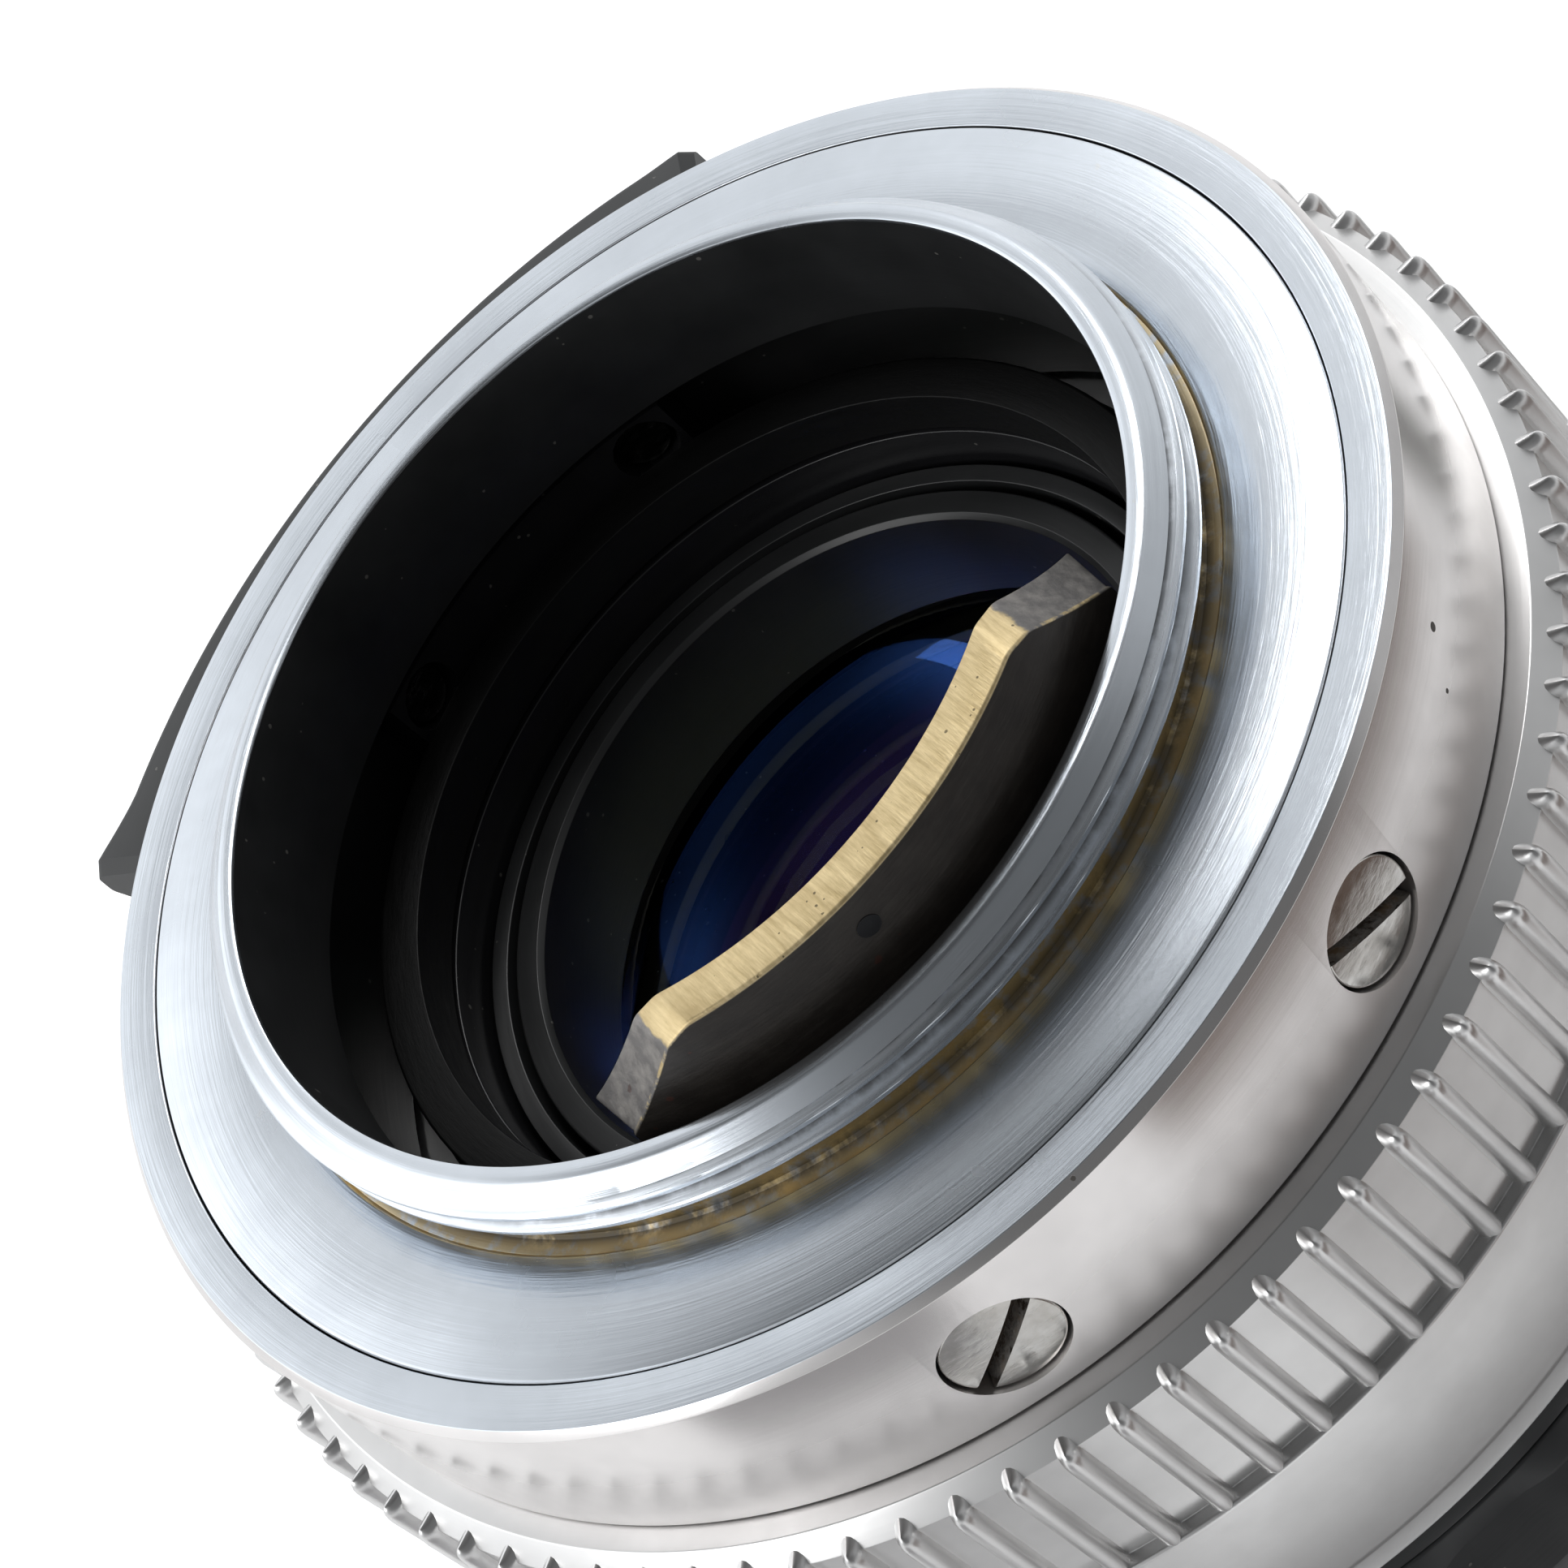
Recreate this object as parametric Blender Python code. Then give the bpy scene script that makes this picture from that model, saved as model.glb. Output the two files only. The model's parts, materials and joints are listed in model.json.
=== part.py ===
"""Screw mount camera lens, stood on its front rim with its rear mount at the top.

The optical axis is Z. Sizes are in millimetres; heights are measured down from the rear rim of
the threaded collar (0), so they are negative towards the front. at() turns them into heights above
the front rim.
"""

import math

import bmesh
import bpy
from mathutils import Matrix, Vector

MM = 0.001
GAP = 0.3  # clearance between neighbouring pieces
STEPS = 48  # sides of the outer turned pieces
INNER_STEPS = 30  # sides of the hidden turned pieces

# Thread and flange. Every radius and height below follows from these and from the walls named with it.
THREAD_R = 19.5
THREAD_DEPTH = 0.58
THREAD_PITCH = 0.977
THREAD_TURNS = 3
LEAD_IN = 0.3
RUN_OUT = 0.15
COLLAR_WALL = 1.55
COLLAR_BORE_R = THREAD_R - COLLAR_WALL
FLANGE_Z = -3.2
FLANGE_WIDTH = 4.4
FLANGE_R = THREAD_R + FLANGE_WIDTH
FLANGE_THICK = 2.3
RELIEF_DEPTH = 0.15  # shallow groove in the flange round the foot of the thread
RELIEF_R = THREAD_R + 0.15
SKIRT_WALL = 3.5
SKIRT_BORE_R = FLANGE_R - SKIRT_WALL

# Polished rear barrel and its screws
BARREL_WALL = 2.0
BARREL_R = FLANGE_R + BARREL_WALL
BARREL_TOP = FLANGE_Z - 0.1
BARREL_LENGTH = 7.0
BARREL_END = BARREL_TOP - BARREL_LENGTH
BARREL_EDGE = 0.45
SKIRT_END = BARREL_END - 3.2
SCREW_Z = (BARREL_TOP + BARREL_END) / 2 - 0.5
SCREW_ANGLE = 19.3
SCREW_HEAD_R = 2.1
SCREW_SHANK_R = 1.0
SCREW_SINK = 0.1
SLOT_WIDTH = 0.7
SLOT_DEPTH = 0.8
SLOT_TURN = {"a": -28.0, "b": 41.0}  # how far each barrel screw's slot is turned from lying across the lens
DRILL_OVER = 1.5  # how far a drill passes the wall it cuts

# Helicoid and lens tube
HELICOID_R = COLLAR_BORE_R + 0.25
TUBE_R = HELICOID_R - GAP
TUBE_WALL = 2.7
TUBE_BORE_R = TUBE_R - TUBE_WALL
TUBE_REAR_R = TUBE_R - 0.5
TUBE_TOP = FLANGE_Z - 6.1
TUBE_SHOULDER = SKIRT_END - 0.7

# Guide keys
KEY_R = SKIRT_BORE_R - GAP
KEY_BORE_R = HELICOID_R
KEY_TOP = FLANGE_Z - FLANGE_THICK - 0.4
KEY_END = SKIRT_END + GAP
KEY_HALF_ANGLE = 24.0
KEY_WIDTH = 3.6
TONGUE_R = TUBE_REAR_R - 1.0
TONGUE_TOP = KEY_END + 1.9
KEYWAY_END = KEY_END - 2.8

# Focusing ring
RIBS = 86
RIB_HEIGHT = 0.6
RIB_HALF = 0.85  # half the rib's angle at its foot, degrees
RIB_TOP_HALF = 0.45
RIB_LENGTH = 6.3
RING_STEP = 1.0  # how far the ring's rear edge stands out from the barrel
RING_CHAMFER = 0.6
RING_BACK = BARREL_END - GAP
RING_BACK_R = BARREL_R + RING_STEP
VALLEY_R = RING_BACK_R + RING_CHAMFER
RIB_R = VALLEY_R + RIB_HEIGHT
RIB_BACK = RING_BACK - RING_CHAMFER
RIB_END = RIB_BACK - RIB_LENGTH
BAND_LENGTH = 6.5
RING_ROUND = RIB_END - BAND_LENGTH
RING_FRONT = RING_ROUND - 2.4
RING_FRONT_R = RIB_R - 1.8
HUB_LENGTH = 7.7
HUB_FRONT = SKIRT_END - GAP - HUB_LENGTH

# Finger lever on the focusing ring
LEVER_ANGLE = 183.5
LEVER_HALF = 33.5
LEVER_TOP = RIB_BACK + 3.6
LEVER_END = RIB_END - 0.5
LEVER_R = RIB_R + 4.1
LEVER_FOOT_R = RIB_R + 2.1
LEVER_FLARE = 0.9
LEVER_FLARE_STEPS = 3
LEVER_WALL = 1.4
LEVER_LIP = 1.6
LEVER_BACK = 5.2
LEVER_SCREW_Z = RIB_BACK - 4.2
LEVER_SCREW_ANGLE = 17.0
LEVER_SCREW_R = 1.3
LEVER_SCREW_DEPTH = 2.7

# Rangefinder cam on the rear end of the lens tube
CAM_R = TUBE_REAR_R - 0.5
CAM_WALL = 1.7
CAM_BORE_R = CAM_R - CAM_WALL
CAM_FACE = FLANGE_Z + 6.1
CAM_BREAK = CAM_FACE - 0.45  # height where the small bevel at each end of the face turns into the ramp
CAM_TIP = CAM_FACE - 3.9
CAM_BASE_TOP = TUBE_TOP + 2.3
CAM_FACE_HALF = 0.444 * CAM_R  # half widths, across the lens, of the face, the bevels and the whole tab
CAM_BREAK_HALF = 0.494 * CAM_R
CAM_TIP_HALF = 0.672 * CAM_R
CAM_PIN_R = 0.45
CAM_PIN_Z = CAM_FACE - 1.5
CAM_PIN_ANGLE = -5.3

# Front barrel, which the iris sits in
TRAVEL_ROOM = 1.7  # free length for focusing between the ring's hub and the front barrel
FRONT_TOP = HUB_FRONT - TRAVEL_ROOM
FRONT_WEB = 2.4  # wall that joins the front barrel to the lens tube
TUBE_END = FRONT_TOP - FRONT_WEB - 0.4
FRONT_BORE_R = HELICOID_R + 1.7
FRONT_WALL = 2.7
FRONT_SEAT_R = FRONT_BORE_R + FRONT_WALL
FRONT_R = FRONT_SEAT_R + 2.4
RING_BORE_R = FRONT_R + GAP

# Rear optics
CELL_R = TUBE_BORE_R - GAP
CELL_WALL = 0.7
CELL_LIP = 2.0
RETAINER_TOP = TUBE_TOP - 1.7
RETAINER_END = RETAINER_TOP - 5.0
RETAINER_WALL = 1.2
RETAINER_BEVEL = 0.3
REAR_BULGE = 1.2
REAR_HOLLOW = 0.5
REAR_GLASS_EDGE = 1.6
SPACER = 1.2
SPACER_WIDTH = 1.0
DOUBLET_REAR_BULGE = 0.4
DOUBLET_HOLLOW = 0.8

# Iris
BLADES = 6
BLADE_THICK = 0.15
IRIS_R = FRONT_BORE_R - 0.4
PIVOT_R = IRIS_R - 4.1
PIVOT_PIN_R = 0.5
PIVOT_EAR_R = 1.1
BLADE_R = PIVOT_R - 0.7
BLADE_WIDTH = 2.4
BLADE_BORE_R = BLADE_R - BLADE_WIDTH
BLADE_SPAN = 96.0
IRIS_PLATE_TOP = TUBE_END - GAP
IRIS_PLATE_THICK = 0.7
IRIS_RING_TOP = IRIS_PLATE_TOP - IRIS_PLATE_THICK - GAP - BLADES * (BLADE_THICK + GAP) - 0.1

# Aperture ring and the screw that joins it to the iris drive ring
DRIVE_ANGLE = 90.0
DRIVE_SCREW_R = 0.8
DRIVE_RIM = 1.4  # from the drive screw's axis to the front edge of the iris drive ring
DRIVE_Z = IRIS_RING_TOP - 0.7 - DRIVE_RIM
FRONT_STEP = DRIVE_Z + 2.0
APERTURE_R = FRONT_R + 0.4
APERTURE_LENGTH = 6.5
APERTURE_END = FRONT_STEP - GAP - APERTURE_LENGTH
APERTURE_SCALLOPS = 24
APERTURE_CHAMFER = 1.2
APERTURE_TURN = 75.0
SCALLOP_DEPTH = 0.45
GROOVES = 2
GROOVE_PITCH = 1.4
GROOVE_WIDTH = 0.6
GROOVE_DEPTH = 0.35

# Front optics and bezel
FRONT_END = APERTURE_END - 1.5
FRONT_CELL_TOP = DRIVE_Z - DRIVE_RIM - GAP
FRONT_CELL_STEP = FRONT_CELL_TOP - 2.8
FRONT_CELL_END = FRONT_CELL_STEP - 4.3
FRONT_GLASS_R = FRONT_BORE_R - 4.4
FRONT_BULGE = 1.6
FRONT_HOLLOW = 0.5
FRONT_RETAINER = 1.6
FRONT_RETAINER_WIDTH = 0.9
INNER_GLASS_R = FRONT_GLASS_R - 2.5
INNER_HOLLOW_REAR = 0.6
INNER_HOLLOW_FRONT = 0.4
BEZEL_R = FRONT_SEAT_R + 1.4
BEZEL_WALL = 3.2
BEZEL_LENGTH = 7.2
BEZEL_EDGE = 0.4
FILTER_BORE_R = BEZEL_R - BEZEL_WALL
NAME_RING_R = FRONT_GLASS_R + 0.7
NAME_RING_Z = FRONT_CELL_END - GAP - 1.0
HEIGHT = BEZEL_LENGTH + GAP - FRONT_END  # front rim to rear rim


def at(height):
    """Height above the front rim of a height counted from the rear rim."""
    return HEIGHT + height


def clear_scene():
    for obj in list(bpy.data.objects):
        bpy.data.objects.remove(obj, do_unlink=True)


def material(name, colour, roughness, metallic, transmission=0.0):
    made = bpy.data.materials.new(name)
    made.use_nodes = True
    shader = made.node_tree.nodes["Principled BSDF"]
    shader.inputs["Base Color"].default_value = (*colour, 1.0)
    shader.inputs["Roughness"].default_value = roughness
    shader.inputs["Metallic"].default_value = metallic
    shader.inputs["Transmission Weight"].default_value = transmission
    made.diffuse_color = (*colour, 1.0)
    return made


def to_object(name, bm, look):
    """Close the mesh, shade it and link it as one named object."""
    bmesh.ops.remove_doubles(bm, verts=bm.verts, dist=0.001 * MM)
    bmesh.ops.recalc_face_normals(bm, faces=bm.faces)
    mesh = bpy.data.meshes.new(name)
    bm.to_mesh(mesh)
    bm.free()
    mesh.shade_smooth()
    mesh.set_sharp_from_angle(angle=math.radians(32))
    mesh.materials.append(look)
    obj = bpy.data.objects.new(name, mesh)
    bpy.context.scene.collection.objects.link(obj)
    return obj


def lathe(name, profile, look, steps=STEPS):
    """Turn a closed (radius, height) profile round Z. Points on the axis close the ends."""
    bm = bmesh.new()
    verts = [bm.verts.new((r * MM, 0, z * MM)) for r, z in profile]
    edges = [bm.edges.new((verts[i], verts[(i + 1) % len(verts)])) for i in range(len(verts))]
    on_axis = [e for e in edges if all(abs(v.co.x) < 1e-9 for v in e.verts)]
    bmesh.ops.delete(bm, geom=on_axis, context="EDGES_FACES")
    bmesh.ops.spin(
        bm,
        geom=list(bm.verts) + list(bm.edges),
        cent=(0, 0, 0),
        axis=(0, 0, 1),
        angle=math.tau,
        steps=steps,
        use_merge=True,
    )
    return to_object(name, bm, look)


def turned(name, profile, look, steps=STEPS):
    """A turned piece whose heights are counted from the rear rim."""
    return lathe(name, [(r, at(z)) for r, z in profile], look, steps)


def sweep_points(name, sections, look, closed=False):
    """Join sections of (radius, angle, height) points, all with the same number of points, round Z."""
    bm = bmesh.new()
    rows = []
    for points in sections:
        row = []
        for r, angle, z in points:
            turn = math.radians(angle)
            row.append(bm.verts.new((r * MM * math.cos(turn), r * MM * math.sin(turn), at(z) * MM)))
        rows.append(row)
    count = len(rows[0])
    pairs = list(zip(rows, rows[1:]))
    if closed:
        pairs.append((rows[-1], rows[0]))
    for near, far in pairs:
        for i in range(count):
            j = (i + 1) % count
            bm.faces.new((near[i], near[j], far[j], far[i]))
    if not closed:
        bm.faces.new(rows[0])
        bm.faces.new(rows[-1])
    return to_object(name, bm, look)


def sweep(name, sections, look, closed=False):
    """Join (angle, [(radius, height)...]) sections round Z."""
    spread = [[(r, angle, z) for r, z in points] for angle, points in sections]
    return sweep_points(name, spread, look, closed)


def extruded(name, outline, bottom, top, look):
    """A flat piece from an (x, y) outline between two heights."""
    bm = bmesh.new()
    low = [bm.verts.new((x * MM, y * MM, bottom * MM)) for x, y in outline]
    face = bm.faces.new(low)
    lifted = bmesh.ops.extrude_face_region(bm, geom=[face])["geom"]
    moved = [v for v in lifted if isinstance(v, bmesh.types.BMVert)]
    bmesh.ops.translate(bm, vec=(0, 0, (top - bottom) * MM), verts=moved)
    return to_object(name, bm, look)


def box(name, low, high, look):
    outline = [(low[0], low[1]), (high[0], low[1]), (high[0], high[1]), (low[0], high[1])]
    return extruded(name, outline, low[2], high[2], look)


def rod(name, radius, low, high, look, sides=16):
    return lathe(name, [(0, low), (radius, low), (radius, high), (0, high)], look, sides)


def aim_out(obj, angle, height):
    """Lay the piece's own Z along the radius at this angle."""
    turn = math.radians(angle)
    out = Vector((math.cos(turn), math.sin(turn), 0))
    up = Vector((0, 0, 1))
    side = up.cross(out)
    basis = Matrix((side, up, out)).transposed().to_4x4()
    obj.matrix_world = Matrix.Translation((0, 0, at(height) * MM)) @ basis
    return obj


def hide(obj):
    obj.hide_render = True
    obj.display_type = "WIRE"
    return obj


def combine(target, tool, operation):
    step = target.modifiers.new(tool.name, "BOOLEAN")
    step.operation = operation
    step.solver = "EXACT"
    step.object = hide(tool)


def drill(target, name, radius, angle, height, low, high):
    """A radial hole through the wall between two radii."""
    cutter = rod(name, radius, low - DRILL_OVER, high + DRILL_OVER, target.data.materials[0])
    aim_out(cutter, angle, height)
    combine(target, cutter, "DIFFERENCE")


def slotted_screw(name, head_r, head_low, head_high, shank_r, shank_low, look, twist):
    """A screw along its own Z, with a straight slot turned by twist."""
    edge = 0.15
    profile = [
        (0, shank_low),
        (shank_r, shank_low),
        (shank_r, head_low),
        (head_r, head_low),
        (head_r, head_high - edge),
        (head_r - edge, head_high),
        (0, head_high + edge),
    ]
    screw = lathe(name, profile, look, 20)
    reach = head_r + 1
    floor = head_high - SLOT_DEPTH
    half = SLOT_WIDTH / 2
    cutter = box(name + "_slot", (-reach, -half, floor), (reach, half, head_high + 1), look)
    cutter.rotation_euler.z = math.radians(twist)
    cutter.parent = screw
    combine(screw, cutter, "DIFFERENCE")
    return screw


def lens_blank(name, radius, back, front, back_bulge, front_bulge, look):
    """A glass element with a ground edge and two curved faces; a negative bulge is hollow."""
    rings = 2
    profile = []
    for i in range(rings + 1):
        part = i / rings
        profile.append((radius * part, back + back_bulge * (1 - part**2)))
    for i in range(rings, -1, -1):
        part = i / rings
        profile.append((radius * part, front - front_bulge * (1 - part**2)))
    return turned(name, profile, look, INNER_STEPS)


def build_mount(looks):
    root_r = THREAD_R - THREAD_DEPTH
    crest = THREAD_PITCH / 5
    profile = [(COLLAR_BORE_R, 0), (THREAD_R - LEAD_IN, 0), (THREAD_R, -LEAD_IN)]
    for turn in range(THREAD_TURNS):
        start = -LEAD_IN - turn * THREAD_PITCH
        profile.append((THREAD_R, start - crest))
        if turn < THREAD_TURNS - 1:
            profile.append((root_r, start - (crest + THREAD_PITCH) / 2))
            profile.append((THREAD_R, start - THREAD_PITCH))
    profile += [
        (root_r, profile[-1][1] - RUN_OUT),
        (root_r, FLANGE_Z - RELIEF_DEPTH),
        (RELIEF_R, FLANGE_Z - RELIEF_DEPTH),
        (RELIEF_R, FLANGE_Z),
        (FLANGE_R, FLANGE_Z),
        (FLANGE_R, SKIRT_END),
        (SKIRT_BORE_R, SKIRT_END),
        (SKIRT_BORE_R, FLANGE_Z - FLANGE_THICK),
        (COLLAR_BORE_R, FLANGE_Z - FLANGE_THICK),
    ]
    mount = turned("mount_ring", profile, looks["chrome"])
    barrel_bore = FLANGE_R + GAP
    profile = [
        (barrel_bore, BARREL_TOP),
        (BARREL_R - BARREL_EDGE, BARREL_TOP),
        (BARREL_R - BARREL_EDGE / 3, BARREL_TOP - BARREL_EDGE / 3),
        (BARREL_R, BARREL_TOP - BARREL_EDGE),
        (BARREL_R, BARREL_END),
        (barrel_bore, BARREL_END),
    ]
    barrel = turned("rear_barrel", profile, looks["polished"])
    for side, centre in enumerate((0, 180), start=1):
        arc = [centre + KEY_HALF_ANGLE * i / 6 for i in range(-6, 7)]
        section = [(KEY_BORE_R, KEY_TOP), (KEY_R, KEY_TOP), (KEY_R, KEY_END), (KEY_BORE_R, KEY_END)]
        key = sweep(f"guide_key_{side}", [(a, section) for a in arc], looks["brass"])
        half = KEY_WIDTH / 2
        tongue = box(
            f"guide_key_{side}_tongue",
            (TONGUE_R, -half, at(KEY_END)),
            (KEY_BORE_R + 0.8, half, at(TONGUE_TOP)),
            looks["brass"],
        )
        tongue.rotation_euler.z = math.radians(centre)
        combine(key, tongue, "UNION")
        for hand, offset in (("a", SCREW_ANGLE), ("b", -SCREW_ANGLE)):
            tag = f"{side}{hand}"
            angle = centre + offset
            drill(barrel, f"barrel_hole_{tag}", SCREW_HEAD_R + GAP, angle, SCREW_Z, FLANGE_R, BARREL_R)
            drill(mount, f"skirt_hole_{tag}", SCREW_SHANK_R + GAP, angle, SCREW_Z, SKIRT_BORE_R, FLANGE_R)
            drill(key, f"key_hole_{tag}", SCREW_SHANK_R + GAP, angle, SCREW_Z, KEY_BORE_R, KEY_R)
            screw = slotted_screw(
                f"barrel_screw_{tag}",
                SCREW_HEAD_R,
                FLANGE_R + GAP,
                BARREL_R - SCREW_SINK - 0.15,
                SCREW_SHANK_R,
                KEY_BORE_R + 0.3,
                looks["screw"],
                SLOT_TURN[hand],
            )
            aim_out(screw, angle, SCREW_Z)


def build_focus_ring(looks):
    """Ribbed ring: each rib runs from the rear chamfer to the plain band in front."""
    bm = bmesh.new()
    pitch = 360 / RIBS

    def loop(radius, height, offsets):
        rows = []
        for i in range(RIBS):
            for offset in offsets:
                turn = math.radians(i * pitch + offset)
                spot = (radius * MM * math.cos(turn), radius * MM * math.sin(turn), at(height) * MM)
                rows.append(bm.verts.new(spot))
        return rows

    def join(first, second):
        for i in range(len(first)):
            j = (i + 1) % len(first)
            bm.faces.new((first[i], first[j], second[j], second[i]))

    tops = (-RIB_TOP_HALF, RIB_TOP_HALF)
    feet = (-RIB_HALF, RIB_HALF)
    back_tops = loop(RIB_R, RIB_BACK, tops)
    back_feet = loop(VALLEY_R, RIB_BACK, feet)
    front_tops = loop(RIB_R, RIB_END, tops)
    front_feet = loop(VALLEY_R, RIB_END, feet)
    chamfer = loop(RING_BACK_R, RING_BACK, (-pitch / 2,))
    for i in range(RIBS):
        left, right, following = 2 * i, 2 * i + 1, (2 * i + 2) % (2 * RIBS)
        for a, b, c, d in (
            (back_feet[left], back_tops[left], front_tops[left], front_feet[left]),
            (back_tops[left], back_tops[right], front_tops[right], front_tops[left]),
            (back_tops[right], back_feet[right], front_feet[right], front_tops[right]),
            (back_feet[right], back_feet[following], front_feet[following], front_feet[right]),
            (front_feet[right], front_feet[following], front_tops[following], front_tops[right]),
        ):
            bm.faces.new((a, b, c, d))
        bm.faces.new((back_feet[left], back_feet[right], back_tops[right], back_tops[left]))
        bm.faces.new((chamfer[i], chamfer[(i + 1) % RIBS], back_feet[right], back_feet[left]))
        bm.faces.new((chamfer[(i + 1) % RIBS], back_feet[following], back_feet[right]))
    shoulder = loop(RIB_R, RING_ROUND, tops)
    lip = loop(RING_FRONT_R, RING_FRONT, tops)
    for first, second in ((front_tops, shoulder), (shoulder, lip)):
        join(first, second)
    inner = [
        loop(radius, height, (-pitch / 2,))
        for radius, height in (
            (RING_BORE_R, RING_FRONT),
            (RING_BORE_R, HUB_FRONT),
            (HELICOID_R, HUB_FRONT),
            (HELICOID_R, SKIRT_END - GAP),
            (FLANGE_R + GAP, SKIRT_END - GAP),
            (FLANGE_R + GAP, RING_BACK),
        )
    ]
    for i in range(RIBS):
        j = (i + 1) % RIBS
        left, right, following = 2 * i, 2 * i + 1, (2 * i + 2) % (2 * RIBS)
        bm.faces.new((inner[0][i], inner[0][j], lip[right], lip[left]))
        bm.faces.new((inner[0][j], lip[following], lip[right]))
    for first, second in zip(inner, inner[1:]):
        join(first, second)
    join(inner[-1], chamfer)
    ring = to_object("focus_ring", bm, looks["satin"])

    arc = [LEVER_ANGLE + LEVER_HALF * i / 10 for i in range(-10, 11)]
    foot = RIB_R + GAP
    sections = []
    for i, angle in enumerate(arc):
        flare = LEVER_FLARE * max(0, i - len(arc) + 1 + LEVER_FLARE_STEPS) / LEVER_FLARE_STEPS
        section = [
            (foot, LEVER_END),
            (foot, RIB_BACK + 0.4),
            (foot + LEVER_WALL, LEVER_TOP),
            (LEVER_R + flare, LEVER_TOP),
            (LEVER_R + flare, LEVER_TOP - LEVER_LIP),
            (LEVER_FOOT_R, LEVER_TOP - LEVER_BACK),
            (LEVER_FOOT_R, LEVER_END),
        ]
        sections.append((angle, section))
    lever = sweep("finger_lever", sections, looks["black"])
    hole_end = RIB_R - LEVER_SCREW_DEPTH - GAP
    for tag, offset in ((1, -LEVER_SCREW_ANGLE), (2, LEVER_SCREW_ANGLE)):
        angle = LEVER_ANGLE + offset
        drill(lever, f"lever_hole_{tag}", LEVER_SCREW_R + GAP, angle, LEVER_SCREW_Z, foot, LEVER_FOOT_R)
        drill(ring, f"ring_hole_{tag}", SCREW_SHANK_R, angle, LEVER_SCREW_Z, hole_end + DRILL_OVER, RIB_R)
        screw = slotted_screw(
            f"lever_screw_{tag}",
            LEVER_SCREW_R,
            RIB_R + GAP,
            LEVER_FOOT_R - 0.2,
            SCREW_SHANK_R - GAP,
            RIB_R - LEVER_SCREW_DEPTH,
            looks["screw"],
            35,
        )
        aim_out(screw, angle, LEVER_SCREW_Z)


def build_cam(looks):
    """Ring on the tube's rear end with one tab. Its rear face is flat, and its ends are milled across."""
    bottom = TUBE_TOP + GAP
    end = CAM_TIP_HALF + 0.1

    def radial(angle, top):
        return [
            (CAM_BORE_R, angle, bottom),
            (CAM_R, angle, bottom),
            (CAM_R, angle, top),
            (CAM_BORE_R, angle, top),
        ]

    def across(side, top):
        inner = math.degrees(math.asin(side / CAM_BORE_R))
        outer = math.degrees(math.asin(side / CAM_R))
        return [
            (CAM_BORE_R, inner, bottom),
            (CAM_R, outer, bottom),
            (CAM_R, outer, top),
            (CAM_BORE_R, inner, top),
        ]

    half = [
        (CAM_FACE_HALF, CAM_FACE),
        (CAM_BREAK_HALF, CAM_BREAK),
        ((CAM_BREAK_HALF + CAM_TIP_HALF) / 2, (CAM_BREAK + CAM_TIP) / 2),
        (CAM_TIP_HALF, CAM_TIP),
        (end, CAM_BASE_TOP),
    ]
    face = [(CAM_FACE_HALF * i / 3, CAM_FACE) for i in range(-2, 3)]
    tab = [(-side, top) for side, top in reversed(half)] + face + half
    sections = [across(side, top) for side, top in tab]
    first = math.degrees(math.asin(end / CAM_BORE_R)) + 1
    sections += [radial(first + i * (360 - 2 * first) / 24, CAM_BASE_TOP) for i in range(25)]
    cam = sweep_points("rangefinder_cam", sections, looks["brass"], closed=True)
    hole_r = CAM_PIN_R + 0.15
    drill(cam, "cam_pin_hole", hole_r, CAM_PIN_ANGLE, CAM_PIN_Z, CAM_BORE_R, CAM_R)
    pin = rod("cam_pin", CAM_PIN_R, CAM_BORE_R + 0.1, CAM_R - 0.05, looks["black"], 12)
    aim_out(pin, CAM_PIN_ANGLE, CAM_PIN_Z)


def build_tube(looks):
    profile = [
        (TUBE_BORE_R, TUBE_TOP),
        (TUBE_REAR_R, TUBE_TOP),
        (TUBE_REAR_R, TUBE_SHOULDER),
        (TUBE_R, TUBE_SHOULDER),
        (TUBE_R, TUBE_END),
        (TUBE_BORE_R, TUBE_END),
    ]
    tube = turned("lens_tube", profile, looks["black"], INNER_STEPS)
    for side, centre in enumerate((0, 180), start=1):
        half = KEY_WIDTH / 2 + GAP
        keyway = box(
            f"keyway_{side}",
            (TONGUE_R - 0.4, -half, at(KEYWAY_END)),
            (TUBE_R + 2, half, at(TUBE_TOP) + 2),
            looks["black"],
        )
        keyway.rotation_euler.z = math.radians(centre)
        combine(tube, keyway, "DIFFERENCE")
    bore = CELL_R - CELL_WALL
    shelf = TUBE_END + CELL_WALL
    profile = [
        (bore, RETAINER_TOP),
        (CELL_R, RETAINER_TOP),
        (CELL_R, TUBE_END),
        (bore - CELL_LIP, TUBE_END),
        (bore - CELL_LIP, shelf),
        (bore, shelf),
    ]
    turned("rear_cell", profile, looks["black"], INNER_STEPS)
    inner = bore - GAP
    eye = inner - RETAINER_WALL
    profile = [
        (eye, RETAINER_TOP - RETAINER_BEVEL),
        (eye + RETAINER_BEVEL, RETAINER_TOP),
        (inner, RETAINER_TOP),
        (inner, RETAINER_END),
        (eye, RETAINER_END),
    ]
    turned("rear_retainer", profile, looks["black"], INNER_STEPS)
    glass_top = RETAINER_END - REAR_BULGE - GAP
    glass_end = glass_top - REAR_GLASS_EDGE
    lens_blank("rear_element", inner, glass_top, glass_end, REAR_BULGE, -REAR_HOLLOW, looks["glass"])
    spacer_end = glass_end - SPACER
    profile = [
        (inner - SPACER_WIDTH, glass_end - GAP),
        (inner, glass_end - GAP),
        (inner, spacer_end),
        (inner - SPACER_WIDTH, spacer_end),
    ]
    turned("rear_spacer", profile, looks["black"], INNER_STEPS)
    lens_blank(
        "rear_doublet",
        inner,
        spacer_end - GAP,
        shelf + GAP,
        DOUBLET_REAR_BULGE,
        -DOUBLET_HOLLOW,
        looks["glass"],
    )


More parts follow.
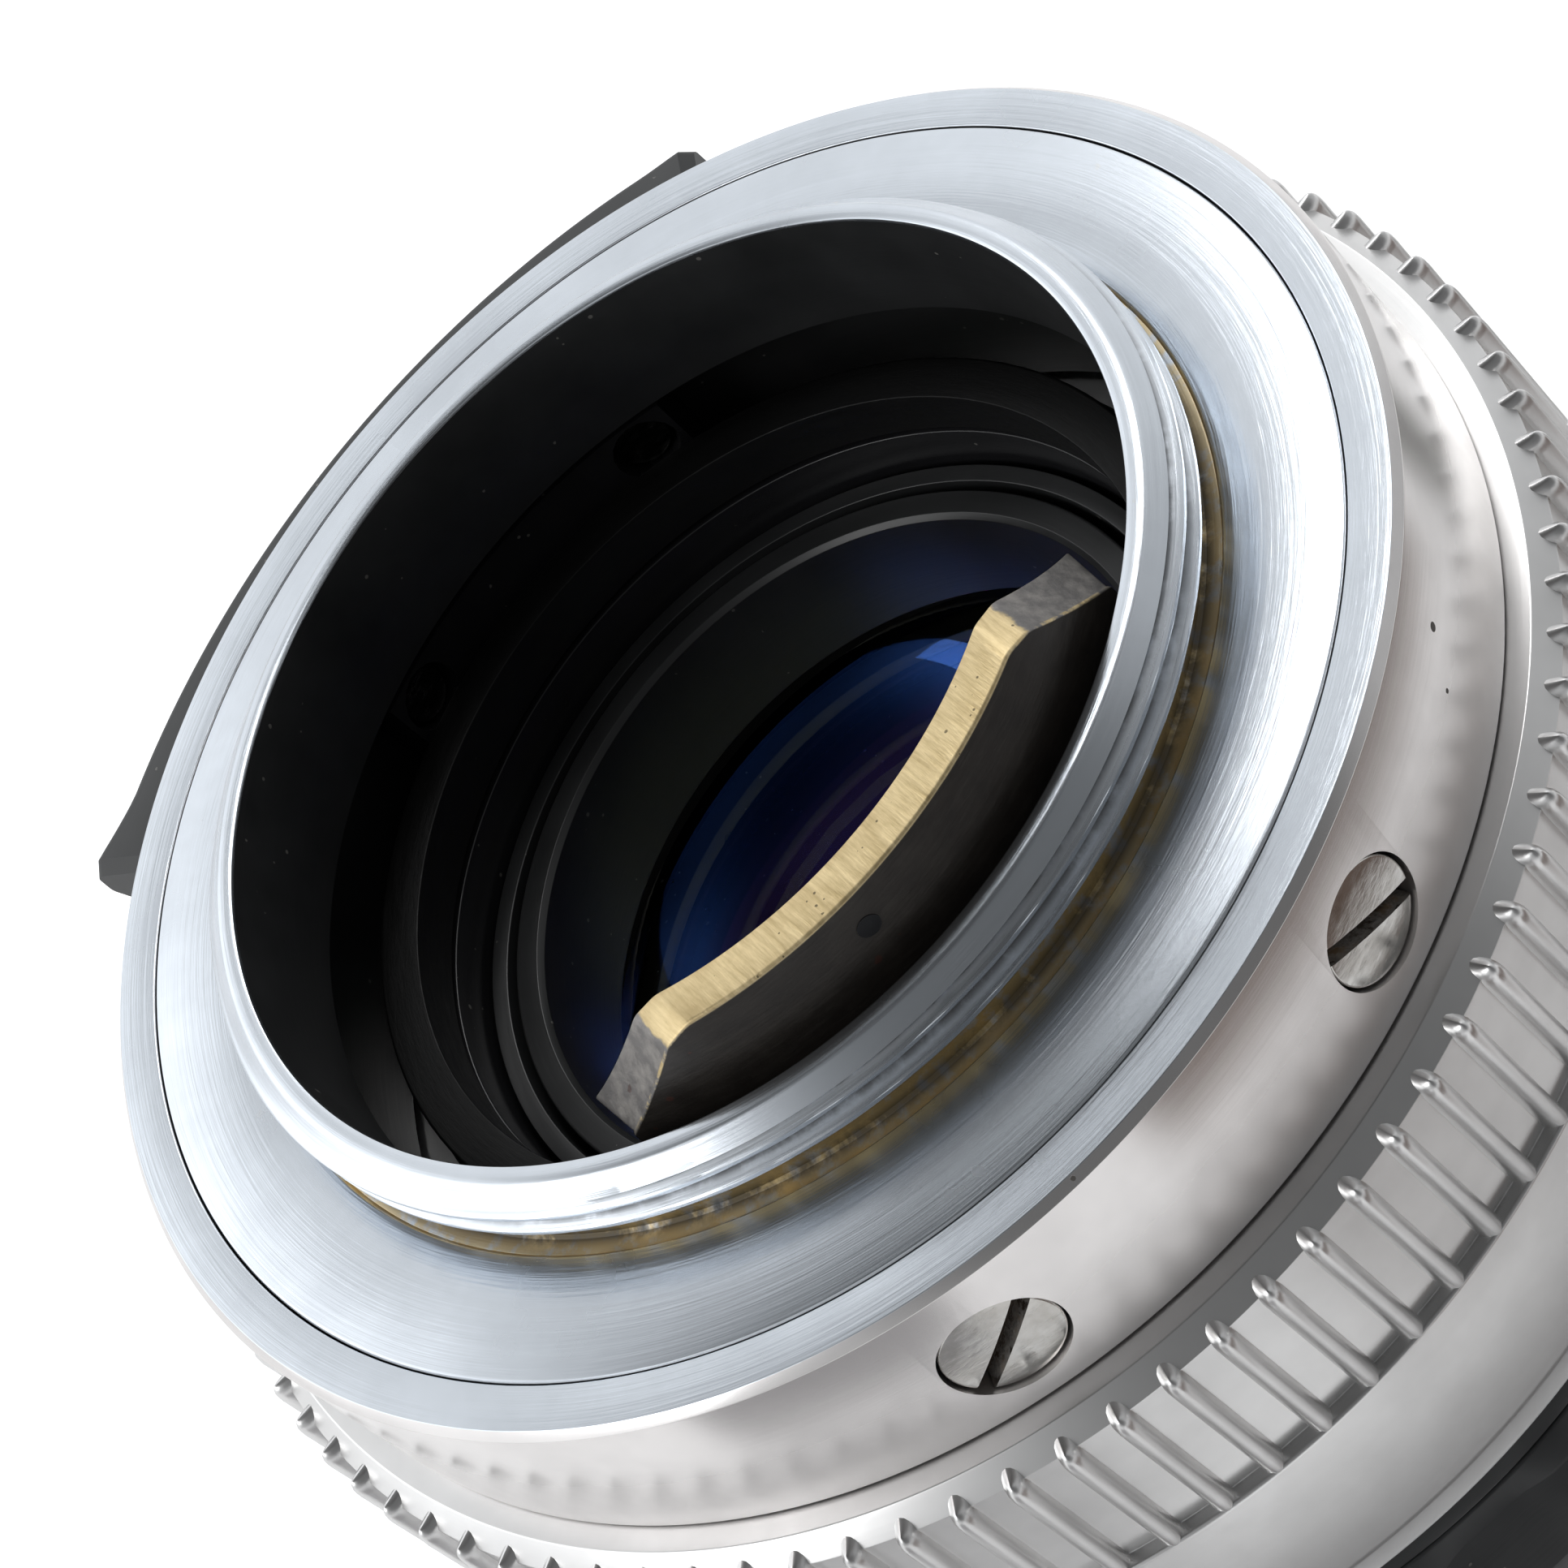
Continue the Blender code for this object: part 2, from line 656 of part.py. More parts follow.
def blade_outline():
    """Open blade, drawn about the optical axis with its pivot on +X."""
    start = -4.0
    arc = [start + (BLADE_SPAN - start) * i / 9 for i in range(10)]
    points = [(BLADE_R, angle) for angle in arc]
    points += [(BLADE_BORE_R + 1.2, BLADE_SPAN + 3)]
    points += [(BLADE_BORE_R, angle) for angle in reversed(arc)]
    outline = [
        (r * math.cos(math.radians(angle)) - PIVOT_R, r * math.sin(math.radians(angle)))
        for r, angle in points
    ]
    ear = []
    for i in range(7):
        turn = math.radians(-120 + 210 * i / 6)
        ear.append((PIVOT_EAR_R * math.cos(turn), PIVOT_EAR_R * math.sin(turn)))
    return ear + outline[1:]


def build_iris(looks):
    profile = [
        (BLADE_BORE_R - 0.3, IRIS_PLATE_TOP),
        (IRIS_R, IRIS_PLATE_TOP),
        (IRIS_R, IRIS_PLATE_TOP - IRIS_PLATE_THICK),
        (BLADE_BORE_R - 0.3, IRIS_PLATE_TOP - IRIS_PLATE_THICK),
    ]
    plate = turned("iris_plate", profile, looks["black"], INNER_STEPS)
    first = IRIS_PLATE_TOP - IRIS_PLATE_THICK - GAP
    pitch = BLADE_THICK + GAP
    last = first - BLADES * pitch
    for i in range(BLADES):
        turn = math.radians(360 * i / BLADES)
        spot = (PIVOT_R * MM * math.cos(turn), PIVOT_R * MM * math.sin(turn), 0)
        pin = rod(f"iris_pin_{i + 1}", PIVOT_PIN_R, at(last), at(IRIS_PLATE_TOP - 0.3), looks["steel"], 10)
        pin.location = spot
        combine(plate, pin, "UNION")
        top = at(first - i * pitch)
        blade = extruded(f"iris_blade_{i + 1}", blade_outline(), top - BLADE_THICK, top, looks["steel"])
        blade.location = spot
        blade.rotation_euler.z = turn
        hole = rod(f"blade_hole_{i + 1}", PIVOT_PIN_R + 0.12, top - 1, top + 1, looks["steel"], 10)
        hole.parent = blade
        combine(blade, hole, "DIFFERENCE")
    ring_top = IRIS_RING_TOP
    rim = IRIS_R - 2
    profile = [
        (BLADE_BORE_R - 0.1, ring_top),
        (IRIS_R, ring_top),
        (IRIS_R, DRIVE_Z - DRIVE_RIM),
        (rim, DRIVE_Z - DRIVE_RIM),
        (rim, ring_top - 0.7),
        (BLADE_BORE_R - 0.1, ring_top - 0.7),
    ]
    ring = turned("iris_drive_ring", profile, looks["brass"], INNER_STEPS)
    drill(ring, "drive_ring_hole", DRIVE_SCREW_R + 0.2, DRIVE_ANGLE, DRIVE_Z, rim, IRIS_R)


def build_front(looks):
    web = FRONT_TOP - FRONT_WEB
    profile = [(TUBE_R + GAP, FRONT_TOP), (FRONT_R, FRONT_TOP)]
    for groove in range(GROOVES):
        start = FRONT_STEP + 1.7 + (GROOVES - 1 - groove) * GROOVE_PITCH
        half = GROOVE_WIDTH / 2
        profile += [(FRONT_R, start + half), (FRONT_R - GROOVE_DEPTH, start), (FRONT_R, start - half)]
    profile += [
        (FRONT_R, FRONT_STEP),
        (FRONT_SEAT_R, FRONT_STEP),
        (FRONT_SEAT_R, FRONT_END),
        (FRONT_BORE_R, FRONT_END),
        (FRONT_BORE_R, web),
        (TUBE_R + GAP, web),
    ]
    barrel = turned("front_barrel", profile, looks["black"])
    half = DRIVE_SCREW_R + GAP
    section = [
        (FRONT_BORE_R - 1, DRIVE_Z + half),
        (FRONT_SEAT_R + 1, DRIVE_Z + half),
        (FRONT_SEAT_R + 1, DRIVE_Z - half),
        (FRONT_BORE_R - 1, DRIVE_Z - half),
    ]
    margin = 4.0
    reach = APERTURE_TURN + 2 * margin
    arc = [DRIVE_ANGLE - margin + reach * i / 10 for i in range(11)]
    slot = sweep("drive_slot", [(a, section) for a in arc], looks["black"])
    combine(barrel, slot, "DIFFERENCE")

    sections = []
    bore = FRONT_SEAT_R + GAP
    top = FRONT_STEP - GAP
    for i in range(2 * APERTURE_SCALLOPS):
        outer = APERTURE_R - SCALLOP_DEPTH * (i % 2)
        section = [
            (bore, top),
            (APERTURE_R - SCALLOP_DEPTH - 0.1, top),
            (outer, top - APERTURE_CHAMFER),
            (outer, APERTURE_END + APERTURE_CHAMFER),
            (APERTURE_R - SCALLOP_DEPTH - 0.1, APERTURE_END),
            (bore, APERTURE_END),
        ]
        sections.append((i * 180 / APERTURE_SCALLOPS, section))
    ring = sweep("aperture_ring", sections, looks["black"], closed=True)
    drill(ring, "aperture_hole", DRIVE_SCREW_R + GAP, DRIVE_ANGLE, DRIVE_Z, bore, APERTURE_R)
    screw = slotted_screw(
        "drive_screw",
        DRIVE_SCREW_R,
        APERTURE_R - 1.6,
        APERTURE_R - 1.0,
        DRIVE_SCREW_R - 0.1,
        IRIS_R - 1.6,
        looks["screw"],
        20,
    )
    aim_out(screw, DRIVE_ANGLE, DRIVE_Z)

    cell_r = FRONT_BORE_R - GAP
    cell_top = FRONT_CELL_TOP
    step = FRONT_CELL_STEP
    cell_end = FRONT_CELL_END
    profile = [
        (INNER_GLASS_R + GAP, cell_top),
        (cell_r, cell_top),
        (cell_r, cell_end),
        (FRONT_GLASS_R + GAP, cell_end),
        (FRONT_GLASS_R + GAP, step),
        (INNER_GLASS_R + GAP, step),
    ]
    turned("front_cell", profile, looks["black"], INNER_STEPS)
    lens_blank(
        "front_doublet",
        INNER_GLASS_R,
        cell_top - GAP,
        step,
        -INNER_HOLLOW_REAR,
        -INNER_HOLLOW_FRONT,
        looks["glass"],
    )
    glass_end = cell_end + FRONT_RETAINER
    lens_blank(
        "front_element", FRONT_GLASS_R, step - GAP, glass_end, -FRONT_HOLLOW, FRONT_BULGE, looks["glass"]
    )
    profile = [
        (FRONT_GLASS_R - FRONT_RETAINER_WIDTH, glass_end - GAP),
        (FRONT_GLASS_R, glass_end - GAP),
        (FRONT_GLASS_R, cell_end),
        (FRONT_GLASS_R - FRONT_RETAINER_WIDTH, cell_end),
    ]
    turned("front_retainer", profile, looks["black"], INNER_STEPS)
    profile = [
        (FRONT_BORE_R + GAP, FRONT_END - GAP),
        (BEZEL_R, FRONT_END - GAP),
        (BEZEL_R, -HEIGHT + BEZEL_EDGE),
        (BEZEL_R - BEZEL_EDGE, -HEIGHT),
        (FILTER_BORE_R, -HEIGHT),
        (FILTER_BORE_R, NAME_RING_Z),
        (NAME_RING_R, NAME_RING_Z),
        (NAME_RING_R, cell_end - GAP),
        (FRONT_BORE_R + GAP, cell_end - GAP),
    ]
    turned("front_bezel", profile, looks["chrome"])


def build():
    clear_scene()
    looks = {
        "chrome": material("satin_chrome", (0.72, 0.74, 0.77), 0.3, 1.0),
        "polished": material("polished_chrome", (0.8, 0.8, 0.82), 0.1, 1.0),
        "satin": material("matt_chrome", (0.7, 0.71, 0.73), 0.38, 1.0),
        "screw": material("nickel", (0.62, 0.61, 0.58), 0.25, 1.0),
        "brass": material("brass", (0.71, 0.56, 0.28), 0.35, 1.0),
        "black": material("black_paint", (0.03, 0.03, 0.032), 0.5, 0.0),
        "steel": material("blued_steel", (0.12, 0.12, 0.13), 0.4, 1.0),
        "glass": material("coated_glass", (0.5, 0.45, 0.7), 0.03, 0.0, 1.0),
    }
    build_mount(looks)
    build_focus_ring(looks)
    build_cam(looks)
    build_tube(looks)
    build_iris(looks)
    build_front(looks)


build()
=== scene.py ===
import json
import math

import bmesh
import bpy
import numpy as np
from mathutils import Matrix, Vector


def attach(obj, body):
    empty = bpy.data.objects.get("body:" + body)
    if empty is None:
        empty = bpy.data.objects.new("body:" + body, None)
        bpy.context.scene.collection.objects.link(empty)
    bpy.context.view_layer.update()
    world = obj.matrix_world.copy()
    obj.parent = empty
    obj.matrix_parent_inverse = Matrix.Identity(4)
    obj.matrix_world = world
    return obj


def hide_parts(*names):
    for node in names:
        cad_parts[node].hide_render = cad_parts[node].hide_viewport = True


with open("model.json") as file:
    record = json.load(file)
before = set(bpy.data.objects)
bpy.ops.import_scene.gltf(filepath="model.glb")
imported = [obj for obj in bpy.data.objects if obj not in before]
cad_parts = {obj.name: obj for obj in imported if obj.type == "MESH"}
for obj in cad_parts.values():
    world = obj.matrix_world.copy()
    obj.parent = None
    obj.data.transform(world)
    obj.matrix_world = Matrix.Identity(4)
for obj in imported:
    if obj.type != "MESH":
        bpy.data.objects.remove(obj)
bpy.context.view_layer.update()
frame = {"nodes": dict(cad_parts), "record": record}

MM = 0.001
FINE = 288          # sides of the large turned pieces
MEDIUM = 144

# Sizes in millimetres. Heights are counted from the rear rim, so they are mostly negative.
TOP = 46.0          # height of the rear rim above the floor
BORE_R = 17.95      # inside of the threaded collar
CREST_R = 19.5      # thread
ROOT_R = 18.92
PITCH = 0.977
LEAD_R = 19.22      # outer end of the lead-in chamfer
LEAD_Z = -0.56
FLANGE_Z = -3.2
FLANGE_R = 23.9
EDGE_R = 23.99      # flange edge, just proud of the skirt
SKIRT_R = 20.4
SKIRT_END = -13.5
BAND_IN = 24.06     # polished band
BAND_R = 25.9
BAND_TOP = -3.24
BAND_END = -10.42
HEAD_HOLE_R = 2.2
SCREW_Z = -7.3
LEVER_SCREW_Z = -15.4
RING_BACK = -10.52  # focusing ring
VALLEY_R = 27.5
RIB_R = 28.1
RIB_FRONT = -17.52
RIBS = 86
TUBE_R = 17.4       # lens tube behind its shoulder
CAM_IN = 15.2
CAM_OUT = 16.9
CAM_TIP = 11.35     # half width of the cam's tab
FRONT_R = 25.0      # front barrel


# ---------------------------------------------------------------- shapes

def fillet(points, radii, steps=4):
    """Rounds the corners of a closed (r, z) profile. Returns points and how edge-like each one is."""
    out, edge = [], []
    n = len(points)
    for i in range(n):
        p = np.array(points[i], float)
        radius = radii[i] if hasattr(radii, "__len__") else radii
        a, b = np.array(points[i - 1], float) - p, np.array(points[(i + 1) % n], float) - p
        la, lb = np.linalg.norm(a), np.linalg.norm(b)
        if radius <= 0 or p[0] < 1e-9 or la < 1e-9 or lb < 1e-9:
            out.append(tuple(p))
            edge.append(0.0)
            continue
        a, b = a / la, b / lb
        half = math.acos(max(-1, min(1, float(a @ b)))) / 2
        if half > 1.55 or half < 0.02:
            span = 0.02
            for k in range(steps + 1):
                share = 2 * k / steps - 1
                out.append(tuple(p - a * span * share if share < 0 else p + b * span * share))
            edge += [0.0] * (steps + 1)
            continue
        cut = min(radius / math.tan(half), 0.45 * la, 0.45 * lb)
        real = cut * math.tan(half)
        middle = (a + b) / np.linalg.norm(a + b)
        centre = p + middle * real / math.sin(half)
        first, last = p + a * cut - centre, p + b * cut - centre
        turn = math.atan2(first[0] * last[1] - first[1] * last[0], first @ last)
        for k in range(steps + 1):
            t = turn * k / steps
            c, s = math.cos(t), math.sin(t)
            out.append((centre[0] + c * first[0] - s * first[1], centre[1] + s * first[0] + c * first[1]))
            edge.append(1.0 if 0 < k < steps else 0.0)
    return out, edge


def mesh_object(name, verts, faces, look, edge=None, sharp=40):
    mesh = bpy.data.meshes.new(name)
    mesh.from_pydata(verts, [], faces)
    mesh.update()
    if edge is not None:
        mesh.attributes.new("edge", "FLOAT", "POINT").data.foreach_set("value", np.array(edge, np.float32))
    mesh.materials.append(look)
    obj = bpy.data.objects.new(name, mesh)
    bpy.context.scene.collection.objects.link(obj)
    mesh.shade_smooth()
    mesh.set_sharp_from_angle(angle=math.radians(sharp))
    return obj


def place(obj, body, slot, *nodes):
    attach(obj, body)
    if nodes:
        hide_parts(*nodes)
    return obj


def grid(rows, closed_u=True, closed_v=True):
    """Faces of a grid of rows x columns, closed round either way."""
    nu, nv = rows
    faces = []
    for i in range(nu if closed_u else nu - 1):
        for j in range(nv if closed_v else nv - 1):
            a, b = (i + 1) % nu, (j + 1) % nv
            faces.append((i * nv + j, a * nv + j, a * nv + b, i * nv + b))
    return faces


def turn_out(name, profile, look, edge=None, sides=MEDIUM, sharp=40):
    """Turns a closed profile, counted anticlockwise with r to the right and z up, round Z."""
    area = sum(p[0] * q[1] - q[0] * p[1] for p, q in zip(profile, profile[1:] + profile[:1]))
    if area < 0:
        profile = profile[::-1]
        edge = edge[::-1] if edge is not None else None
    poles = [i for i, p in enumerate(profile) if p[0] < 1e-9]
    angles = np.arange(sides) * math.tau / sides
    verts, index = [], {}
    for i, (r, z) in enumerate(profile):
        z = (TOP + z) * MM
        if i in poles:
            index[i] = [len(verts)] * sides
            verts.append((0, 0, z))
        else:
            index[i] = list(range(len(verts), len(verts) + sides))
            verts += [(r * MM * math.cos(a), r * MM * math.sin(a), z) for a in angles]
    faces = []
    for i in range(len(profile)):
        j = (i + 1) % len(profile)
        if i in poles and j in poles:
            continue
        for k in range(sides):
            m = (k + 1) % sides
            corner = [index[i][k], index[i][m], index[j][m], index[j][k]]
            face = [c for n, c in enumerate(corner) if c not in corner[:n]]
            faces.append(face)
    values = None
    if edge is not None:
        values = []
        for i in range(len(profile)):
            values += [edge[i]] * (1 if i in poles else sides)
    return mesh_object(name, verts, faces, look, values, sharp)


def turned(name, points, radii, look, sides=MEDIUM, steps=4):
    profile, edge = fillet(points, radii, steps)
    return turn_out(name, profile, look, edge, sides)


def sweep(name, sections, look, closed=False, edge=None, sharp=40):
    """Joins (angle, [(r, z)...]) sections round Z; open ends are capped."""
    rows, cols = len(sections), len(sections[0][1])
    verts = []
    for angle, points in sections:
        t = math.radians(angle)
        verts += [(r * MM * math.cos(t), r * MM * math.sin(t), (TOP + z) * MM) for r, z in points]
    faces = grid((rows, cols), closed_u=closed)
    if not closed:
        faces.append(tuple(range(cols))[::-1])
        faces.append(tuple((rows - 1) * cols + i for i in range(cols)))
    obj = mesh_object(name, verts, faces, look, edge, sharp)
    outward(obj)
    return obj


def outward(obj):
    bm = bmesh.new()
    bm.from_mesh(obj.data)
    bmesh.ops.remove_doubles(bm, verts=bm.verts, dist=1e-8)
    bmesh.ops.recalc_face_normals(bm, faces=bm.faces)
    bm.to_mesh(obj.data)
    bm.free()
    obj.data.update()


def radial(angle, height):
    """Matrix that lays a piece's own Z along the radius at this angle, with its Y up the lens."""
    t = math.radians(angle)
    out, up = Vector((math.cos(t), math.sin(t), 0)), Vector((0, 0, 1))
    side = up.cross(out)
    return Matrix.Translation((0, 0, (TOP + height) * MM)) @ Matrix((side, up, out)).transposed().to_4x4()


# ---------------------------------------------------------------- node groups

def group(name, inputs, outputs):
    tree = bpy.data.node_groups.new(name, "ShaderNodeTree")
    for label, kind, value in inputs:
        socket = tree.interface.new_socket(label, in_out="INPUT", socket_type=kind)
        if value is not None:
            socket.default_value = value
    for label, kind in outputs:
        tree.interface.new_socket(label, in_out="OUTPUT", socket_type=kind)
    return tree, Nodes(tree)


FLOAT, VECTOR, COLOR = "NodeSocketFloat", "NodeSocketVector", "NodeSocketColor"


class Nodes:
    """Short way to add nodes: sockets are passed as values or as other nodes' outputs."""

    def __init__(self, tree):
        self.tree = tree

    def add(self, kind, inputs=None, **settings):
        node = self.tree.nodes.new(kind)
        for key, value in settings.items():
            setattr(node, key, value)
        for key, value in (inputs or {}).items():
            self.put(node.inputs[key], value)
        return node

    def put(self, socket, value):
        if isinstance(value, bpy.types.NodeSocket):
            self.tree.links.new(value, socket)
        else:
            socket.default_value = value

    def math(self, operation, a, b=0.0, c=0.0, clamp=False):
        node = self.add("ShaderNodeMath", {0: a, 1: b, 2: c}, operation=operation, use_clamp=clamp)
        return node.outputs[0]

    def ramp(self, value, low, high, to_low=0.0, to_high=1.0):
        inputs = {"Value": value, "From Min": low, "From Max": high, "To Min": to_low, "To Max": to_high}
        return self.add("ShaderNodeMapRange", inputs, clamp=True).outputs["Result"]

    def noise(self, vector, scale, detail=3.0, rough=0.5):
        inputs = {"Vector": vector, "Scale": scale, "Detail": detail, "Roughness": rough}
        return self.add("ShaderNodeTexNoise", inputs).outputs["Fac"]

    def mix(self, factor, a, b, kind="MIX"):
        node = self.add("ShaderNodeMix", data_type="RGBA", blend_type=kind)
        self.put(node.inputs[0], factor)
        self.put(node.inputs[6], a)
        self.put(node.inputs[7], b)
        return node.outputs[2]

    def mix_value(self, factor, a, b):
        node = self.add("ShaderNodeMix", data_type="FLOAT")
        self.put(node.inputs[0], factor)
        self.put(node.inputs[2], a)
        self.put(node.inputs[3], b)
        return node.outputs[0]

    def use(self, tree, inputs=None):
        node = self.add("ShaderNodeGroup", node_tree=tree)
        for key, value in (inputs or {}).items():
            self.put(node.inputs[key], value)
        return node.outputs


def make_groups():
    made = {}

    tree, n = group("polar", [("Vector", VECTOR, None)],
                    [("Angle", FLOAT), ("Radius", FLOAT), ("Height", FLOAT), ("Around", VECTOR)])
    start = n.add("NodeGroupInput").outputs
    parts = n.add("ShaderNodeSeparateXYZ", {0: start["Vector"]}).outputs
    angle = n.math("ARCTAN2", parts["Y"], parts["X"])
    radius = n.math("SQRT", n.math("ADD", n.math("MULTIPLY", parts["X"], parts["X"]),
                                   n.math("MULTIPLY", parts["Y"], parts["Y"])))
    arc = n.math("MULTIPLY", angle, 0.022)
    around = n.add("ShaderNodeCombineXYZ", {"X": arc, "Y": radius, "Z": parts["Z"]}).outputs[0]
    end = n.add("NodeGroupOutput")
    for label, value in (("Angle", angle), ("Radius", radius), ("Height", parts["Z"]), ("Around", around)):
        n.put(end.inputs[label], value)
    made["polar"] = tree

    tree, n = group("turning_marks",
                    [("Vector", VECTOR, None), ("Scale", FLOAT, 9000.0), ("Waver", FLOAT, 0.02)],
                    [("Height", FLOAT), ("Bands", FLOAT)])
    start = n.add("NodeGroupInput").outputs
    polar = n.use(made["polar"], {"Vector": start["Vector"]})
    squeeze = n.add("ShaderNodeVectorMath", {0: polar["Around"], 1: (0.02, 1.0, 1.0)}, operation="MULTIPLY")
    fine = n.noise(squeeze.outputs[0], start["Scale"], 4.0, 0.65)
    broad = n.noise(squeeze.outputs[0], n.math("MULTIPLY", start["Scale"], 0.12), 3.0, 0.6)
    end = n.add("NodeGroupOutput")
    n.put(end.inputs["Height"], n.math("ADD", n.math("MULTIPLY", fine, 0.7), n.math("MULTIPLY", broad, 0.3)))
    n.put(end.inputs["Bands"], broad)
    made["turning_marks"] = tree

    tree, n = group("scratches",
                    [("Vector", VECTOR, None), ("Scale", FLOAT, 300.0), ("Width", FLOAT, 0.03),
                     ("Amount", FLOAT, 0.4)],
                    [("Mask", FLOAT)])
    start = n.add("NodeGroupInput").outputs
    polar = n.use(made["polar"], {"Vector": start["Vector"]})
    total = None
    for turn, stretch in ((0.15, (0.16, 1, 1)), (-0.35, (0.22, 1, 1)), (1.2, (1, 0.2, 0.2))):
        laid = {"Vector": polar["Around"], "Rotation": (0, 0, turn), "Scale": stretch}
        mapped = n.add("ShaderNodeMapping", laid)
        cell = n.add("ShaderNodeTexVoronoi", {"Vector": mapped.outputs[0], "Scale": start["Scale"]},
                     feature="DISTANCE_TO_EDGE")
        line = n.math("LESS_THAN", cell.outputs["Distance"], start["Width"])
        gate = n.noise(mapped.outputs[0], n.math("MULTIPLY", start["Scale"], 1.7), 2.0)
        few = n.math("GREATER_THAN", gate, n.math("SUBTRACT", 1.0, start["Amount"]))
        line = n.math("MULTIPLY", line, few)
        total = line if total is None else n.math("MAXIMUM", total, line)
    end = n.add("NodeGroupOutput")
    n.put(end.inputs["Mask"], total)
    made["scratches"] = tree

    tree, n = group("grime",
                    [("Vector", VECTOR, None), ("Reach", FLOAT, 0.0008), ("Amount", FLOAT, 0.6),
                     ("Scale", FLOAT, 700.0)],
                    [("Mask", FLOAT), ("Blotch", FLOAT)])
    start = n.add("NodeGroupInput").outputs
    shade = n.add("ShaderNodeAmbientOcclusion", {"Distance": start["Reach"]}, samples=8, only_local=True)
    hidden = n.ramp(shade.outputs["AO"], 0.75, 0.3)
    blotch = n.noise(start["Vector"], start["Scale"], 5.0, 0.65)
    patch = n.ramp(blotch, 0.4, 0.62)
    end = n.add("NodeGroupOutput")
    n.put(end.inputs["Mask"], n.math("MULTIPLY", n.math("MULTIPLY", hidden, patch), start["Amount"]))
    n.put(end.inputs["Blotch"], blotch)
    made["grime"] = tree

    tree, n = group("edge_wear", [("Vector", VECTOR, None), ("Amount", FLOAT, 0.5), ("Scale", FLOAT, 900.0)],
                    [("Mask", FLOAT)])
    start = n.add("NodeGroupInput").outputs
    edge = n.add("ShaderNodeAttribute", attribute_name="edge").outputs["Fac"]
    chip = n.noise(start["Vector"], start["Scale"], 4.0, 0.6)
    low = n.math("SUBTRACT", 0.75, n.math("MULTIPLY", start["Amount"], 0.5))
    chipped = n.ramp(chip, low, n.math("ADD", low, 0.08))
    end = n.add("NodeGroupOutput")
    n.put(end.inputs["Mask"], n.math("MULTIPLY", edge, chipped))
    made["edge_wear"] = tree

    tree, n = group("specks", [("Vector", VECTOR, None), ("Scale", FLOAT, 500.0), ("Size", FLOAT, 0.12),
                               ("Amount", FLOAT, 0.2)], [("Mask", FLOAT)])
    start = n.add("NodeGroupInput").outputs
    cell = n.add("ShaderNodeTexVoronoi", {"Vector": start["Vector"], "Scale": start["Scale"]})
    pick = n.add("ShaderNodeSeparateColor", {0: cell.outputs["Color"]}).outputs[0]
    near = n.math("LESS_THAN", cell.outputs["Distance"], n.math("MULTIPLY", start["Size"], pick))
    few = n.math("GREATER_THAN", n.noise(start["Vector"], n.math("MULTIPLY", start["Scale"], 0.3), 2.0),
                 n.math("SUBTRACT", 0.8, start["Amount"]))
    end = n.add("NodeGroupOutput")
    n.put(end.inputs["Mask"], n.math("MULTIPLY", near, few))
    made["specks"] = tree
    return made


GROUPS = make_groups()


# ---------------------------------------------------------------- materials

def new_material(name, colour, rough, metal):
    mat = bpy.data.materials.new(name)
    mat.use_nodes = True
    n = Nodes(mat.node_tree)
    shader = mat.node_tree.nodes["Principled BSDF"]
    shader.inputs["Base Color"].default_value = (*colour, 1)
    shader.inputs["Roughness"].default_value = rough
    shader.inputs["Metallic"].default_value = metal
    place_at = n.add("ShaderNodeTexCoord").outputs["Object"]
    return mat, n, shader, place_at


def bump(n, shader, height, strength, distance=0.0001):
    node = n.add("ShaderNodeBump", {"Strength": strength, "Distance": distance, "Height": height})
    n.put(shader.inputs["Normal"], node.outputs[0])


BRASS = (0.50, 0.35, 0.14, 1)
BARE_BRASS = (0.72, 0.55, 0.27, 1)
# dark colour for dirt and pits, and for the painted shade in the thread grooves and undercut
DIRT_AND_SHADE = (0.035, 0.028, 0.02, 1)


